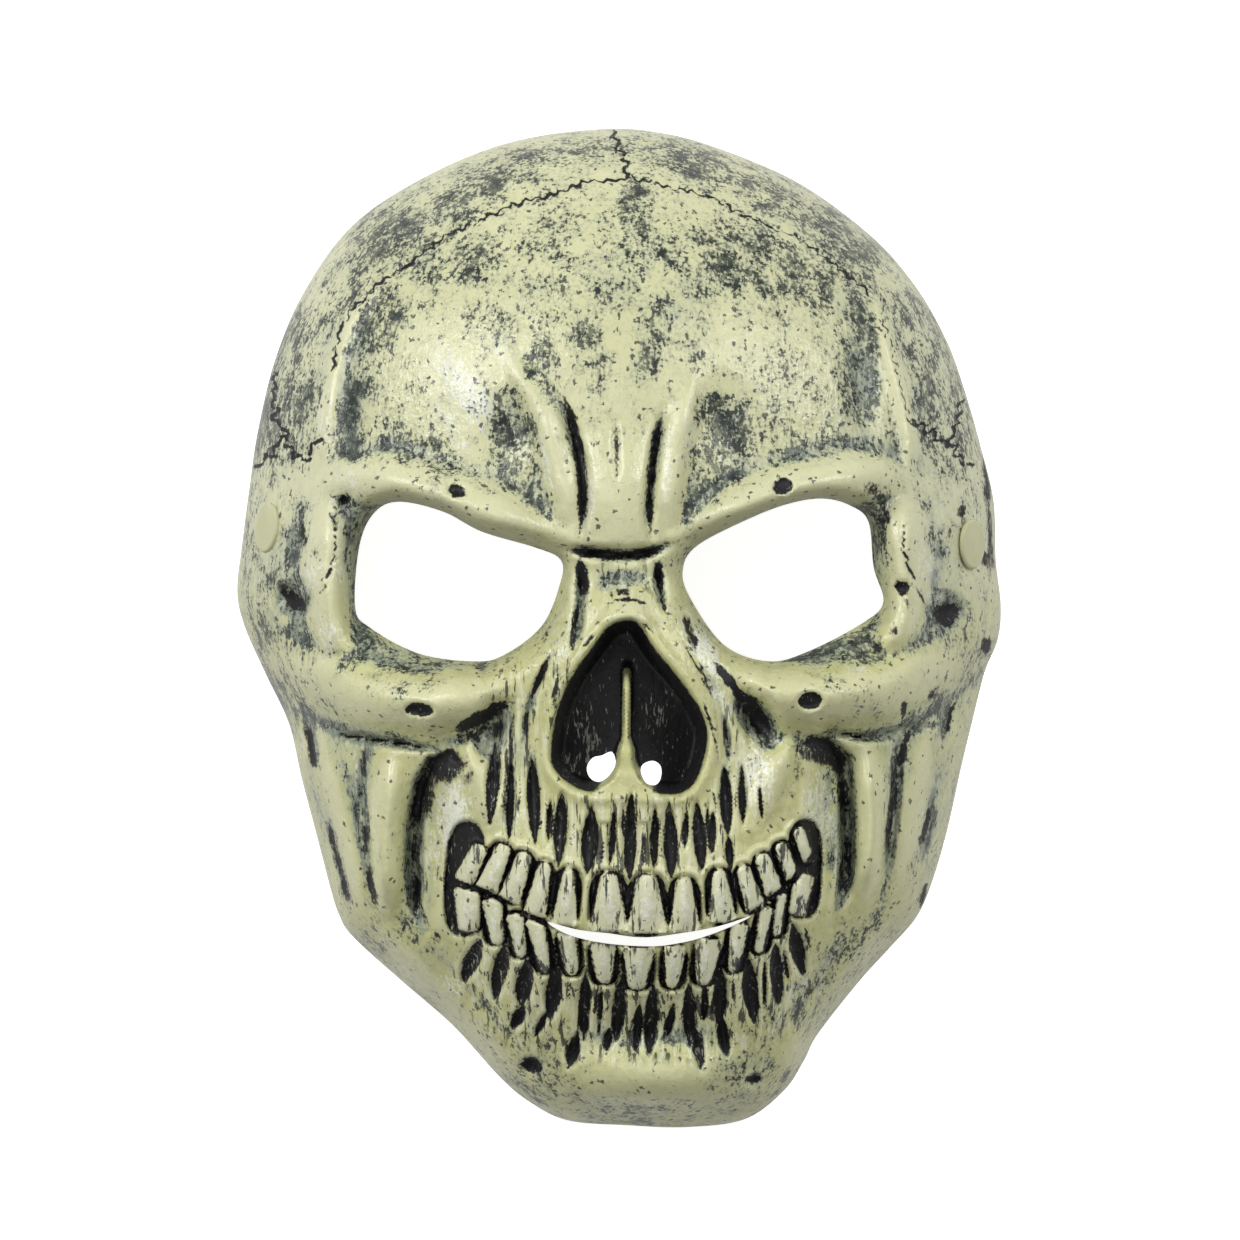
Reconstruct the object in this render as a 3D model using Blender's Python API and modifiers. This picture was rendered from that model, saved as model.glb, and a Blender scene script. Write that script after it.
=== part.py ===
"""Skull mask: one moulded face, hollow at the back, and two flat strap rivets.

Lengths in the tables are millimetres, measured from the middle of the outline: x to the right of the
picture, y towards the crown, z out of the face. The built objects are in metres.
"""
import math
from collections import namedtuple

import bmesh
import bpy
import numpy as np
from mathutils import Matrix, Vector
from mathutils.geometry import delaunay_2d_cdt
from mathutils.kdtree import KDTree

MM = 0.001
WALL = 2.1
DOME_HEIGHT = 74.0
DOME_MIDDLE = (0.0, 5.0)
DOME_POWER = 2.3
JAW_POWER = 1.1
CHIN_LIFT = 12.0
RIM_FADE = 0.07

SOCKET_DEPTH = 10.0
SOCKET_ROLL_TOP = 3.8
SOCKET_ROLL_LOW = 8.5
NOSE_DEPTH = 19.0
NOSE_WALL = 4.2
NOSE_LIP = 0.9
SEPTUM_HEIGHT = 12.0

TOOTH_HEIGHT = 5.0
BITE_GAP = 1.2
GUM_RECESS = 2.6
GUM_MARGIN = 1.7
GUM_EDGE = 0.7
SLOT_DEPTH = 3.0
PIT_DEPTH = 2.6

RIVET_HEAD_RADIUS = 6.4
RIVET_HEAD_THICK = 1.0
RIVET_POST_RADIUS = 1.9
RIVET_HOLE_RADIUS = 2.3
RIVET_FLANGE_RADIUS = 4.5
RIVET_FLANGE_THICK = 1.0
RIVET_GAP = 0.3
RIVET_SIDES = 28
SEAT_RADIUS = 9.5

RIM_POINTS = 200
HOLE_STEP = 1.8
DOME_RINGS = (0.09, 0.18, 0.28, 0.4, 0.53)
NOSE_RINGS = (-1.4, 0.3, 1.6, 2.9)
SOCKET_RINGS = (0.7, 1.7, 3.2, 5.4, 8.2)
INNER_RINGS = (0.35, 0.9, 2.0, 4.2, 7.5)
LATTICE_STEP = 1.35
FINE_STEP = 0.9
FINE_BOX = (-52.0, -112.0, 56.0, 6.0)
INNER_STEP = 3.0
INNER_FINE_STEP = 1.5
SHELL_TRIANGLES = 10500

Blob = namedtuple("Blob", "where x y wide tall turn high")
Line = namedtuple("Line", "where high wide points")
Tooth = namedtuple("Tooth", "x y wide tall lean taper")
Slot = namedtuple("Slot", "x y length wide lean")
Pit = namedtuple("Pit", "x y wide tall turn")
Rivet = namedtuple("Rivet", "name x y")

OUTLINE = (
    (-4.8, 130.4), (-28.5, 127), (-50.1, 118.4), (-69.5, 105.7), (-82.3, 88.5),
    (-90.1, 70.6), (-94.8, 51.4), (-97.1, 35.8), (-98.9, 22), (-100.2, 9.8),
    (-98.4, 0.7), (-93, -11.6), (-86.7, -25.1), (-83.3, -39.6), (-79.7, -53.2),
    (-75.8, -68.2), (-73.7, -74.8), (-70.1, -80.7), (-56.8, -92.7), (-43.6, -104.1),
    (-31.9, -116.9), (-24.3, -123.4), (-13.9, -128.6), (1.7, -129.9), (17.3, -130.4),
    (32.6, -128.3), (42.8, -120.8), (48, -113), (51.6, -106.2), (62.3, -92.7),
    (70.3, -83.9), (77.6, -75.5), (81.8, -65.7), (85.7, -52.1), (89, -37.1),
    (91.9, -25.1), (95.3, -11.6), (98.7, -3.2), (99.5, 5.9), (98.2, 17.6),
    (97.6, 33.1), (94.2, 47.5), (90.1, 61.8), (85.2, 75.3), (76.8, 89.8),
    (65.1, 102.8), (46.9, 116.1), (27.4, 124.7), (11.3, 129.3),
)
EYE_LEFT = (
    (-57.3, 32.6), (-45.9, 30), (-35.8, 24.8), (-22, 20.7), (-15.5, 17.6),
    (-15.5, 11.8), (-20.4, 0.4), (-30.8, -7.4), (-38.9, -8.7), (-52.6, -6.6),
    (-65.1, 0.1), (-68.8, 5.3), (-67.7, 21.2), (-63.8, 29.8),
)
EYE_RIGHT = (
    (52.6, 33.4), (59.7, 31.6), (64.4, 27.4), (65.7, 15.7), (68.2, 6.6),
    (62.8, 1.2), (48.8, -6.1), (38.4, -8.7), (26.9, -4.5), (18.1, 7.7),
    (16.2, 15), (19.9, 21.2), (33.4, 28.2), (43.8, 32.1),
)
NOSE_PIT = (
    (1.7, 2.2), (-3, 0.4), (-7.7, -5.3), (-12.9, -12.9), (-16.5, -21.4),
    (-18.1, -30.6), (-17.3, -36.5), (-11.8, -41.5), (-5.6, -42.8), (1.7, -42.2),
    (8.7, -43), (15.7, -43), (20.2, -38.6), (22.8, -28.7), (20.9, -21.4),
    (16, -13.7), (9.5, -5.9), (5.1, 0.9),
)
NOSTRIL_LEFT = (
    (-2.2, -32.1), (-1.2, -35), (-2.5, -37.8), (-5.1, -39.9), (-7.7, -39.1),
    (-8.7, -36.3), (-7.2, -33.7), (-4.8, -33.1),
)
NOSTRIL_RIGHT = (
    (6.4, -35), (8.7, -34.5), (10.5, -36), (10.5, -38.9), (9.2, -40.7),
    (6.9, -40.4), (5.6, -38.4), (5.3, -36.3),
)
MOUTH_SLIT = (
    (-18.9, -76), (-11.6, -77.9), (-3.5, -78.9), (6.1, -80), (15.7, -78.9),
    (25.6, -77.1), (33.9, -74.5), (30.8, -76.3), (24.6, -78.9), (17.8, -81),
    (9.5, -82.3), (0.1, -82), (-8.7, -80.7), (-15, -78.7),
)
BLOBS = (
    Blob("forehead", 0.1, 77.4, 78, 54.6, 0, 5),
    Blob("glabella", -0.4, 33.1, 19.5, 22.1, 0, 5),
    Blob("bridge_saddle", 1.4, 12.3, 15.6, 11.7, 0, -3),
    Blob("bridge_hump", 1.7, 5.3, 10.4, 8.8, 0, 3),
    Blob("nose", 1.7, -20.2, 32.5, 39, 0, 8),
    Blob("muzzle", 3.2, -65.7, 58.5, 42.9, 0, 9),
    Blob("chin", 8.7, -119.7, 35.1, 15.6, 0, 8),
    Blob("chin_hollow", 8.7, -106, 31.2, 9.4, 0, -1.5),
    Blob("brow_dent_left", -27.7, 51.9, 9.4, 16.1, -20, -2.6),
    Blob("brow_dent_right", 27.7, 52.6, 10.9, 16.1, 12, -2.6),
    Blob("temple_dent_right", 62.5, 62.3, 6.8, 17.2, 8, -1.8),
    Blob("temple_dent_left", -70.1, 54, 5.7, 15.6, -5, -1.2),
    Blob("cheek_hollow_left", -51.5, -55, 10.4, 28.6, -4, -7.5),
    Blob("cheek_hollow_right", 56.5, -48.5, 9.6, 27.3, 3, -8.5),
    Blob("wedge_left", -33.1, -26.1, 6.2, 12, -12, -5.5),
    Blob("wedge_right", 35.2, -23, 6.8, 12, 25, -5.5),
    Blob("cheek_boss_left", -59, -19.2, 25, 10.6, 8, 3),
    Blob("cheek_boss_right", 63, -18.2, 25, 10.6, -8, 3),
    Blob("temple_pit_left", -84.6, 7.7, 6.8, 6.8, 0, -4.5),
    Blob("temple_pit_right", 84.4, 5.1, 6.8, 6.2, 0, -4.5),
    Blob("mouth_corner_left", -44.1, -63.1, 6.2, 18.2, 0, -2),
    Blob("mouth_corner_right", 52.1, -61, 6.2, 17.2, 0, -2),
)
RIDGES = (
    Line("brow_left", 8, 9.4, (
        (-78.9, 35.2), (-70.1, 38.9), (-57.6, 37.8), (-43.3, 33.4), (-27.7, 27.4), (-14.4, 22),
    )),
    Line("brow_right", 8, 9.4, (
        (77.1, 35.8), (66.7, 39.1), (56.3, 38.4), (42.5, 35.2), (27.7, 29), (16.2, 22.8),
    )),
    Line("orbit_side_left", 6, 7.8, ((-75.8, 38.9), (-77.4, 17.6), (-74.8, -3.2), (-64.9, -14.7))),
    Line("orbit_side_right", 6, 7.8, ((74, 38.9), (74.5, 17.6), (72.9, -0.7), (64.1, -13.7))),
    Line("cheekbone_left", 9.5, 12, (
        (-94.5, -3.8), (-81, -11.6), (-65.4, -17.3), (-49.8, -19.9), (-34.2, -16.8), (-23.8, -9),
    )),
    Line("cheekbone_right", 9.5, 12, (
        (94.5, -3.8), (82.8, -9.8), (67.2, -15.7), (50.3, -18.3), (37.3, -15.7), (25.6, -7.9),
    )),
    Line("temporal_line_left", 2.2, 3.6, (
        (-58.4, 92.4), (-70.6, 80), (-75, 65.7), (-76.8, 51.4), (-77.9, 38.4),
    )),
    Line("temporal_line_right", 2.6, 3.6, (
        (65.1, 89.8), (68.8, 76), (71.6, 66.4), (74, 56.6), (75.5, 48.8), (74, 35.8),
    )),
    Line("fold_left", 2.6, 5.2, ((-29.5, 71.6), (-19.1, 51.4), (-14.4, 33.1), (-16, 22.8))),
    Line("fold_right", 2.6, 5.2, ((18.9, 64.4), (14.7, 48.8), (13.1, 33.1), (15.2, 24.1))),
    Line("maxilla_strut_left", 3, 5.2, ((-39.4, -29.8), (-35.2, -42.2), (-31.6, -52.6))),
    Line("maxilla_strut_right", 3, 5.2, ((43.8, -29.8), (38.1, -42.2), (35, -51.4))),
    Line("masseter_left", 4.5, 6.2, ((-59.7, -29.8), (-61.8, -52.6), (-61.2, -77.4))),
    Line("masseter_right", 4.5, 6.2, ((64.1, -29.8), (65.1, -50.6), (63.6, -72.2))),
    Line("jaw_ridge_left", 2.6, 4.7, ((-77.9, -29.2), (-72.4, -52.6), (-66.4, -74.8))),
    Line("jaw_ridge_right", 2.6, 4.7, ((80.2, -24.1), (76.6, -44.9), (71.9, -68.2))),
    Line("jaw_border_left", 3.5, 7.8, ((-70.1, -72.2), (-52.4, -89.6), (-33.7, -110.4), (-19.9, -122.9))),
    Line("jaw_border_right", 3.5, 7.8, ((74.5, -72.2), (61, -89.6), (48.5, -107.2), (38.6, -121.5))),
)
GROOVES = (
    Line("furrow_left", 3.2, 2.3, ((-18.1, 62.3), (-12.9, 52.6), (-10, 43), (-9, 31.9), (-10.3, 21.4))),
    Line("furrow_right", 3.2, 2.3, ((11.1, 57.1), (9, 46.1), (7.9, 36.8), (7.2, 29.2), (7.9, 20.7))),
    Line("furrow_middle", 1, 1.8, ((-1.4, 54.5), (-0.9, 36.3))),
    Line("under_brow", 4.5, 2.6, ((-15.5, 20.7), (-6.1, 19.4), (1.7, 18.6), (7.9, 19.6), (14.2, 21.7))),
    Line("bridge_slot_left", 3.5, 2.1, ((-10, 17), (-10.3, 7.2), (-11.3, -4.8))),
    Line("bridge_slot_right", 3.5, 1.8, ((9.2, 17), (10, 10.3), (11.1, 4.5))),
    Line("cheek_crease_left", 2.6, 1.8, (
        (-77.9, -24.6), (-71.4, -27.9), (-59.7, -29.8), (-50.3, -31.1), (-44.5, -33),
    )),
    Line("cheek_crease_right", 2.6, 1.8, (
        (84.1, -24.6), (73.7, -26.7), (64.6, -28.5), (55.5, -27.4), (48.4, -28.6),
    )),
    Line("hollow_edge_left", 5, 3.2, (
        (-41, -36), (-44.6, -33.2), (-48.8, -35), (-51.6, -41), (-53.2, -50), (-53.7, -60.5), (-53.2, -72.2),
        (-50.3, -78.7),
    )),
    Line("hollow_edge_right", 5, 3.2, (
        (46.4, -31.3), (50.6, -29.5), (54.7, -30.3), (57.6, -33.9), (58.9, -41), (59.2, -50.1), (59.4, -60.5),
        (57.3, -69.6), (54.7, -77.4),
    )),
    Line("side_left_1", 3, 2.1, ((-81.5, -22), (-78.9, -36.5))),
    Line("side_left_2", 3, 2.1, ((-76.3, -48), (-73.2, -60.5), (-70.1, -72.2))),
    Line("side_left_3", 2.2, 2.1, ((-67.5, -34.5), (-66.4, -52.6), (-64.4, -72.2))),
    Line("side_right_1", 3, 2.3, ((72.4, -26.1), (71.4, -44.9), (68.2, -70.9))),
    Line("side_right_2", 2.2, 2.1, ((84.9, -18.3), (83.9, -29.8))),
    Line("side_right_3", 2.2, 2.1, ((81.2, -42.2), (78.7, -63.6))),
    Line("nose_side_left", 1.4, 1.5, ((-17.8, -6.4), (-21.7, -15), (-24.5, -24), (-24.8, -32))),
    Line("nose_side_right", 1.4, 1.5, ((20, -8), (24.5, -17), (27.5, -26.5), (28.5, -37))),
)
UPPER_TEETH = (
    Tooth(-38.4, -61.2, 4.4, 9.9, 24, 0.2),
    Tooth(-32.4, -62.5, 4.4, 12.7, 23, 0.3),
    Tooth(-26.7, -64.6, 4.4, 12.7, 20, 0.3),
    Tooth(-20.9, -68.2, 4.2, 14.3, 12, 0.4),
    Tooth(-13.9, -69.8, 4.2, 14, 5, 0.5),
    Tooth(-3, -71.1, 6.5, 14.6, 1, 0.52),
    Tooth(6.9, -71.6, 7, 14.6, 0, 0.5),
    Tooth(16.5, -71.9, 5.2, 13.5, -1, 0.52),
    Tooth(25.9, -69.5, 4.7, 13, -4, 0.5),
    Tooth(33.4, -67.7, 3.9, 11.7, -18, 0.35),
    Tooth(38.4, -64.4, 3.9, 11.4, -18, 0.2),
    Tooth(43, -60.7, 3.1, 9.9, -20, 0.15),
    Tooth(47.7, -56.6, 2.9, 9.4, -22, 0.1),
)
LOWER_TEETH = (
    Tooth(-39.4, -72.7, 5.5, 10.9, -4, 0.2),
    Tooth(-32.4, -75.8, 3.9, 11.4, -8, 0.35),
    Tooth(-26.4, -79.4, 3.4, 10.9, -10, 0.35),
    Tooth(-20.7, -82, 3.4, 13.8, -12, 0.45),
    Tooth(-13.1, -83.9, 3.6, 10.9, -8, 0.45),
    Tooth(-4.3, -86.2, 4.7, 10.4, -3, 0.45),
    Tooth(4.5, -87.8, 5.7, 10.4, 3, 0.45),
    Tooth(13.7, -87.5, 3.9, 10.4, 4, 0.45),
    Tooth(22.2, -86.2, 4.9, 11.4, 8, 0.5),
    Tooth(30, -82.5, 3.4, 12.2, 9, 0.45),
    Tooth(36.8, -78.1, 2.6, 11.7, 11, 0.3),
    Tooth(41.2, -74, 2.1, 11.2, 10, 0.1),
    Tooth(46.7, -69, 4.4, 10.4, 12, 0.15),
)
UPPER_SLOTS = (
    Slot(-33, -40.6, 20.1, 3.3, -4),
    Slot(-28.5, -45.2, 19, 2.4, -2),
    Slot(-22.4, -44.6, 21.3, 3.3, 2),
    Slot(-18.3, -50.1, 10.4, 1.8, -3),
    Slot(-15.5, -52.3, 18, 3.6, -3),
    Slot(-7.9, -54.9, 16.9, 3.9, -4),
    Slot(-2.2, -54.6, 12.8, 2.1, -5),
    Slot(2.6, -54.1, 21.6, 3.6, -1),
    Slot(0.7, -50.1, 7.3, 1.5, 0),
    Slot(8.8, -54.5, 16.1, 2.4, -1),
    Slot(12.9, -54.9, 19.5, 3.6, 2),
    Slot(16.9, -52.1, 8.3, 1.8, -2),
    Slot(20.4, -53.7, 16.7, 3.3, 5),
    Slot(22.4, -49.7, 7, 1.1, -2),
    Slot(23.7, -53, 9.1, 2.4, -2),
    Slot(27.3, -44.9, 16.7, 3, 3),
    Slot(28.2, -58.4, 7.3, 2.4, 4),
    Slot(31.5, -43.2, 14.8, 2.1, 1),
    Slot(36.3, -45.4, 7.3, 1.5, 4),
)
LOWER_SLOTS = (
    Slot(-38.4, -86.3, 10.5, 4.1, -23),
    Slot(-31.2, -89, 13.7, 3.9, -10),
    Slot(-24.8, -92, 10.8, 4.5, -8),
    Slot(-26.4, -101, 4.7, 3, -27),
    Slot(-17.2, -94.2, 13.6, 4.1, -8),
    Slot(-20.3, -102.3, 6.4, 1.8, -27),
    Slot(-9.2, -98.2, 16.1, 3.3, -2),
    Slot(-12.2, -109.6, 8, 3.3, -13),
    Slot(-5.2, -98.9, 12.5, 1.5, -4),
    Slot(-0.5, -98.9, 14.6, 3.6, -5),
    Slot(-3.2, -106.7, 4.2, 2.4, -7),
    Slot(4.5, -103.1, 11.5, 2.4, -5),
    Slot(7.9, -101.3, 17.2, 3.6, -3),
    Slot(13, -101.5, 7.4, 2.1, -10),
    Slot(17.9, -100.2, 15.1, 3.6, 1),
    Slot(20.3, -109.6, 8.9, 2.6, 8),
    Slot(21.8, -96.9, 8.3, 1.8, -2),
    Slot(25.7, -95.5, 13, 3.6, -3),
    Slot(26.7, -105.7, 9.5, 3, 9),
    Slot(33.7, -93.7, 16.2, 4.1, 6),
    Slot(37.3, -91.7, 11.4, 1.5, 0),
    Slot(40.6, -89.8, 15.1, 3.6, 3),
    Slot(45.9, -83.3, 12.7, 3.6, 12),
    Slot(42.8, -87.5, 7.4, 1.5, 8),
)
MOUTH_ENDS = (
    Tooth(-40.2, -65.1, 10.4, 30.2, 3, 0),
    Tooth(47.5, -62.5, 9.1, 26, 2, 0),
)
BITE_LINES = (
    ((-43.3, -66.2), (-35.8, -68), (-31.1, -70.1), (-27.2, -72.7), (-23.8, -74.5), (-18.9, -76.3)),
    ((33.9, -74), (36.5, -72.2), (38.6, -70.1), (41.5, -68.2), (44.9, -65.1), (48, -61.5), (50.6, -58.4)),
)
PITS = (
    Pit(-42.2, 35.2, 2.6, 1.6, -18),
    Pit(42, 36.5, 2.6, 2.1, 18),
    Pit(-71.6, 32.9, 1.3, 1.3, 0),
    Pit(-51.9, -21.2, 3.6, 1.8, -5),
    Pit(49, -18.9, 3.1, 2.3, 5),
    Pit(-22.8, -113.5, 2.6, 2.1, -20),
    Pit(34.5, -117.1, 2.1, 1.3, 10),
    Pit(72.9, 10.3, 1.8, 1.8, 0),
)
RIVETS = (
    Rivet("strap_rivet_left", -91.6, 25.9),
    Rivet("strap_rivet_right", 90.6, 21.7),
)


def ease(t):
    """Zero below 0, one above 1, smooth between."""
    t = np.clip(t, 0.0, 1.0)
    return t * t * (3.0 - 2.0 * t)


def bell(t):
    """One at 0, falling smoothly to zero at 1."""
    return np.clip(1.0 - t * t, 0.0, None) ** 2


def rounded_loop(points, step):
    """A closed smooth line through the points, as an even row of new points."""
    p = np.array(points)
    before = np.roll(p, 1, axis=0)
    after = np.roll(p, -1, axis=0)
    beyond = np.roll(p, -2, axis=0)
    t = np.linspace(0.0, 1.0, 24, endpoint=False)[None, :, None]
    a = p[:, None]
    b = after[:, None]
    slope_a = 0.5 * (after - before)[:, None]
    slope_b = 0.5 * (beyond - p)[:, None]
    line = (
        (2 * t**3 - 3 * t**2 + 1) * a
        + (t**3 - 2 * t**2 + t) * slope_a
        + (3 * t**2 - 2 * t**3) * b
        + (t**3 - t**2) * slope_b
    ).reshape(-1, 2)
    closed = np.vstack([line, line[:1]])
    along = np.concatenate([[0.0], np.cumsum(np.hypot(*np.diff(closed, axis=0).T))])
    count = step if isinstance(step, int) else max(8, round(along[-1] / step))
    wanted = np.linspace(0.0, along[-1], count, endpoint=False)
    return np.stack([np.interp(wanted, along, closed[:, i]) for i in (0, 1)], axis=1)


def to_line(x, y, points, closed=False):
    """Distance of each place from the line through the points, and how far along the line it is."""
    p = np.array(points)
    ends = np.roll(p, -1, axis=0) if closed else p[1:]
    starts = p if closed else p[:-1]
    lengths = np.hypot(*(ends - starts).T)
    gone = np.concatenate([[0.0], np.cumsum(lengths)])
    best = np.full(x.shape, 1e9)
    along = np.zeros(x.shape)
    for (ax, ay), (bx, by), length, before in zip(starts, ends, lengths, gone):
        t = ((x - ax) * (bx - ax) + (y - ay) * (by - ay)) / max(length**2, 1e-9)
        t = np.clip(t, 0.0, 1.0)
        d = np.hypot(x - ax - t * (bx - ax), y - ay - t * (by - ay))
        along = np.where(d < best, (before + t * length) / gone[-1], along)
        best = np.minimum(best, d)
    return best, along


def inside_by(x, y, loop):
    """Distance from a closed loop, positive inside it."""
    distance, _ = to_line(x, y, loop, closed=True)
    odd = np.zeros(x.shape, bool)
    for (ax, ay), (bx, by) in zip(loop, np.roll(loop, -1, axis=0)):
        crosses = (ay > y) != (by > y)
        odd ^= crosses & (x < ax + (y - ay) * (bx - ax) / (by - ay + 1e-12))
    return np.where(odd, distance, -distance)


def around(x, y, points, reach):
    """Which places lie near the points, so that a small feature is only worked out there."""
    low = np.min(points, axis=0) - reach
    high = np.max(points, axis=0) + reach
    return np.nonzero((x > low[0]) & (x < high[0]) & (y > low[1]) & (y < high[1]))[0]


def turned(x, y, row, turn):
    """Places seen from a row's middle, in axes turned by so many degrees."""
    c = math.cos(math.radians(turn))
    s = math.sin(math.radians(turn))
    return (x - row.x) * c + (y - row.y) * s, (y - row.y) * c - (x - row.x) * s


OUTLINE_LOOP = rounded_loop(OUTLINE, 360)
EYE_LOOPS = [rounded_loop(EYE_LEFT, HOLE_STEP), rounded_loop(EYE_RIGHT, HOLE_STEP)]
NOSE_LOOP = rounded_loop(NOSE_PIT, 1.3)
NOSTRIL_LOOPS = [rounded_loop(NOSTRIL_LEFT, 12), rounded_loop(NOSTRIL_RIGHT, 12)]
SLIT_LOOP = rounded_loop(MOUTH_SLIT, 44)
OUTLINE_ANGLES = np.arctan2(OUTLINE_LOOP[:, 1] - DOME_MIDDLE[1], OUTLINE_LOOP[:, 0] - DOME_MIDDLE[0])
OUTLINE_ORDER = np.argsort(OUTLINE_ANGLES)
OUTLINE_REACH = np.hypot(OUTLINE_LOOP[:, 0] - DOME_MIDDLE[0], OUTLINE_LOOP[:, 1] - DOME_MIDDLE[1])


def rim_level(y):
    """Height of the rim: on the table all round, and lifted under the chin."""
    return CHIN_LIFT * ease((-y - 84.0) / 46.0)


def share_out(x, y):
    """How far out each place is: 0 in the middle of the dome, 1 at the outline."""
    dx = x - DOME_MIDDLE[0]
    dy = y - DOME_MIDDLE[1]
    angles = OUTLINE_ANGLES[OUTLINE_ORDER]
    reach = OUTLINE_REACH[OUTLINE_ORDER]
    return np.hypot(dx, dy) / np.interp(np.arctan2(dy, dx), angles, reach, period=2 * math.pi)


def dome_power(x, y):
    """The face is round at the crown and fuller, with steeper sides, towards the jaw."""
    down = DOME_MIDDLE[1] - y
    reach = np.hypot(x - DOME_MIDDLE[0], down) + 1e-9
    return DOME_POWER + JAW_POWER * np.clip(down / reach, 0.0, 1.0) ** 2


def dome(x, y):
    u = np.clip(share_out(x, y), 0.0, 1.0)
    p = dome_power(x, y)
    floor = rim_level(y)
    return floor + (DOME_HEIGHT - floor) * (1.0 - u**p) ** (1.0 / p)


def line_profile(x, y, row):
    """A rounded strip along the row's line, tapering at both ends."""
    distance, along = to_line(x, y, row.points)
    taper = 0.15 + 0.85 * ease(np.minimum(along, 1.0 - along) / 0.3)
    return row.high * bell(distance / (row.wide * (0.5 + 0.5 * taper))) * taper


def joined(x, y, rows, power):
    """Strips that join where they cross, without doubling."""
    total = np.zeros(x.shape)
    for row in rows:
        near = around(x, y, row.points, row.wide)
        total[near] += line_profile(x[near], y[near], row) ** power
    return total ** (1.0 / power)


def bones(x, y):
    """Raised bone: swellings add up, ridges join, and grooves are cut into both."""
    total = joined(x, y, RIDGES, 4.0) - joined(x, y, GROOVES, 3.0)
    for row in BLOBS:
        near = around(x, y, [(row.x, row.y)], max(row.wide, row.tall))
        u, v = turned(x[near], y[near], row, row.turn)
        total[near] += row.high * bell(np.hypot(u / row.wide, v / row.tall))
    return total


def sockets(x, y):
    """The rolled edge that goes back into each eye hole."""
    drop = np.zeros(x.shape)
    for loop in EYE_LOOPS:
        middle = loop.mean(axis=0)
        near = around(x, y, loop, SOCKET_ROLL_LOW)
        nx, ny = x[near], y[near]
        up = (ny - middle[1]) / (np.hypot(nx - middle[0], ny - middle[1]) + 1e-9)
        roll = SOCKET_ROLL_LOW + (SOCKET_ROLL_TOP - SOCKET_ROLL_LOW) * np.clip(up, 0.0, 1.0)
        t = np.clip(1.0 + inside_by(nx, ny, loop) / roll, 0.0, 0.97)
        drop[near] = SOCKET_DEPTH * (1.0 - np.sqrt(1.0 - t * t)) / 0.757
    return drop


def nose(x, y):
    """Height added round and in the nose: a lip, the deep pit, the septum and the spine under it."""
    added = np.zeros(x.shape)
    near = around(x, y, NOSE_LOOP, 7.0)
    nx, ny = x[near], y[near]
    depth = inside_by(nx, ny, NOSE_LOOP)
    pit = NOSE_DEPTH * ease((depth + 0.6) / NOSE_WALL)
    lip = NOSE_LIP * np.exp(-(((depth + 1.6) / 1.4) ** 2))
    from_middle = np.abs(nx - 1.6 - 0.012 * (ny + 20.0))
    half = 0.9 + 1.1 * ease((-27.5 - ny) / 5.0) + 4.6 * ease((-33.0 - ny) / 11.0)
    wall = ease(1.6 - from_middle / half)
    rise = SEPTUM_HEIGHT + 8.0 * ease((-31.0 - ny) / 7.0)
    length = ease((-8.0 - ny) / 8.0) * ease((ny + 51.0) / 7.0)
    added[near] = lip - pit + np.minimum(rise * wall * length, pit + 1.0)
    return added


def socket_reach(x, y, row, margin):
    """1 on the edge of a tooth's socket in the gum, less inside it."""
    u, v = turned(x, y, row, -row.lean)
    wide = row.wide / 2 + margin
    tall = row.tall / 2 + 0.6 * margin
    return (np.abs(u / wide) ** 2.4 + np.abs(v / tall) ** 3.4) ** 0.35


def tooth_face(x, y, row, way):
    """One tooth: a flat face, narrow at the gum, with flanks that are steeper at the tip."""
    u, v = turned(x, y, row, -row.lean)
    half = row.tall / 2
    side = row.wide / 2 * (1.0 - way * row.taper * np.clip(v / half, -1.0, 1.0))
    over = np.abs(u) - side + 1.0
    past = np.abs(v) - half + 1.0
    off = np.hypot(np.maximum(over, 0.0), np.maximum(past, 0.0)) + np.minimum(np.maximum(over, past), 0.0)
    to_gum = np.clip(0.5 + 0.5 * way * v / half, 0.0, 1.0)
    flat = ease(1.0 - (off - 1.0) / (0.6 + 0.9 * to_gum))
    return flat * (0.86 + 0.14 * bell(u / (side + 0.5)))


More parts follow.
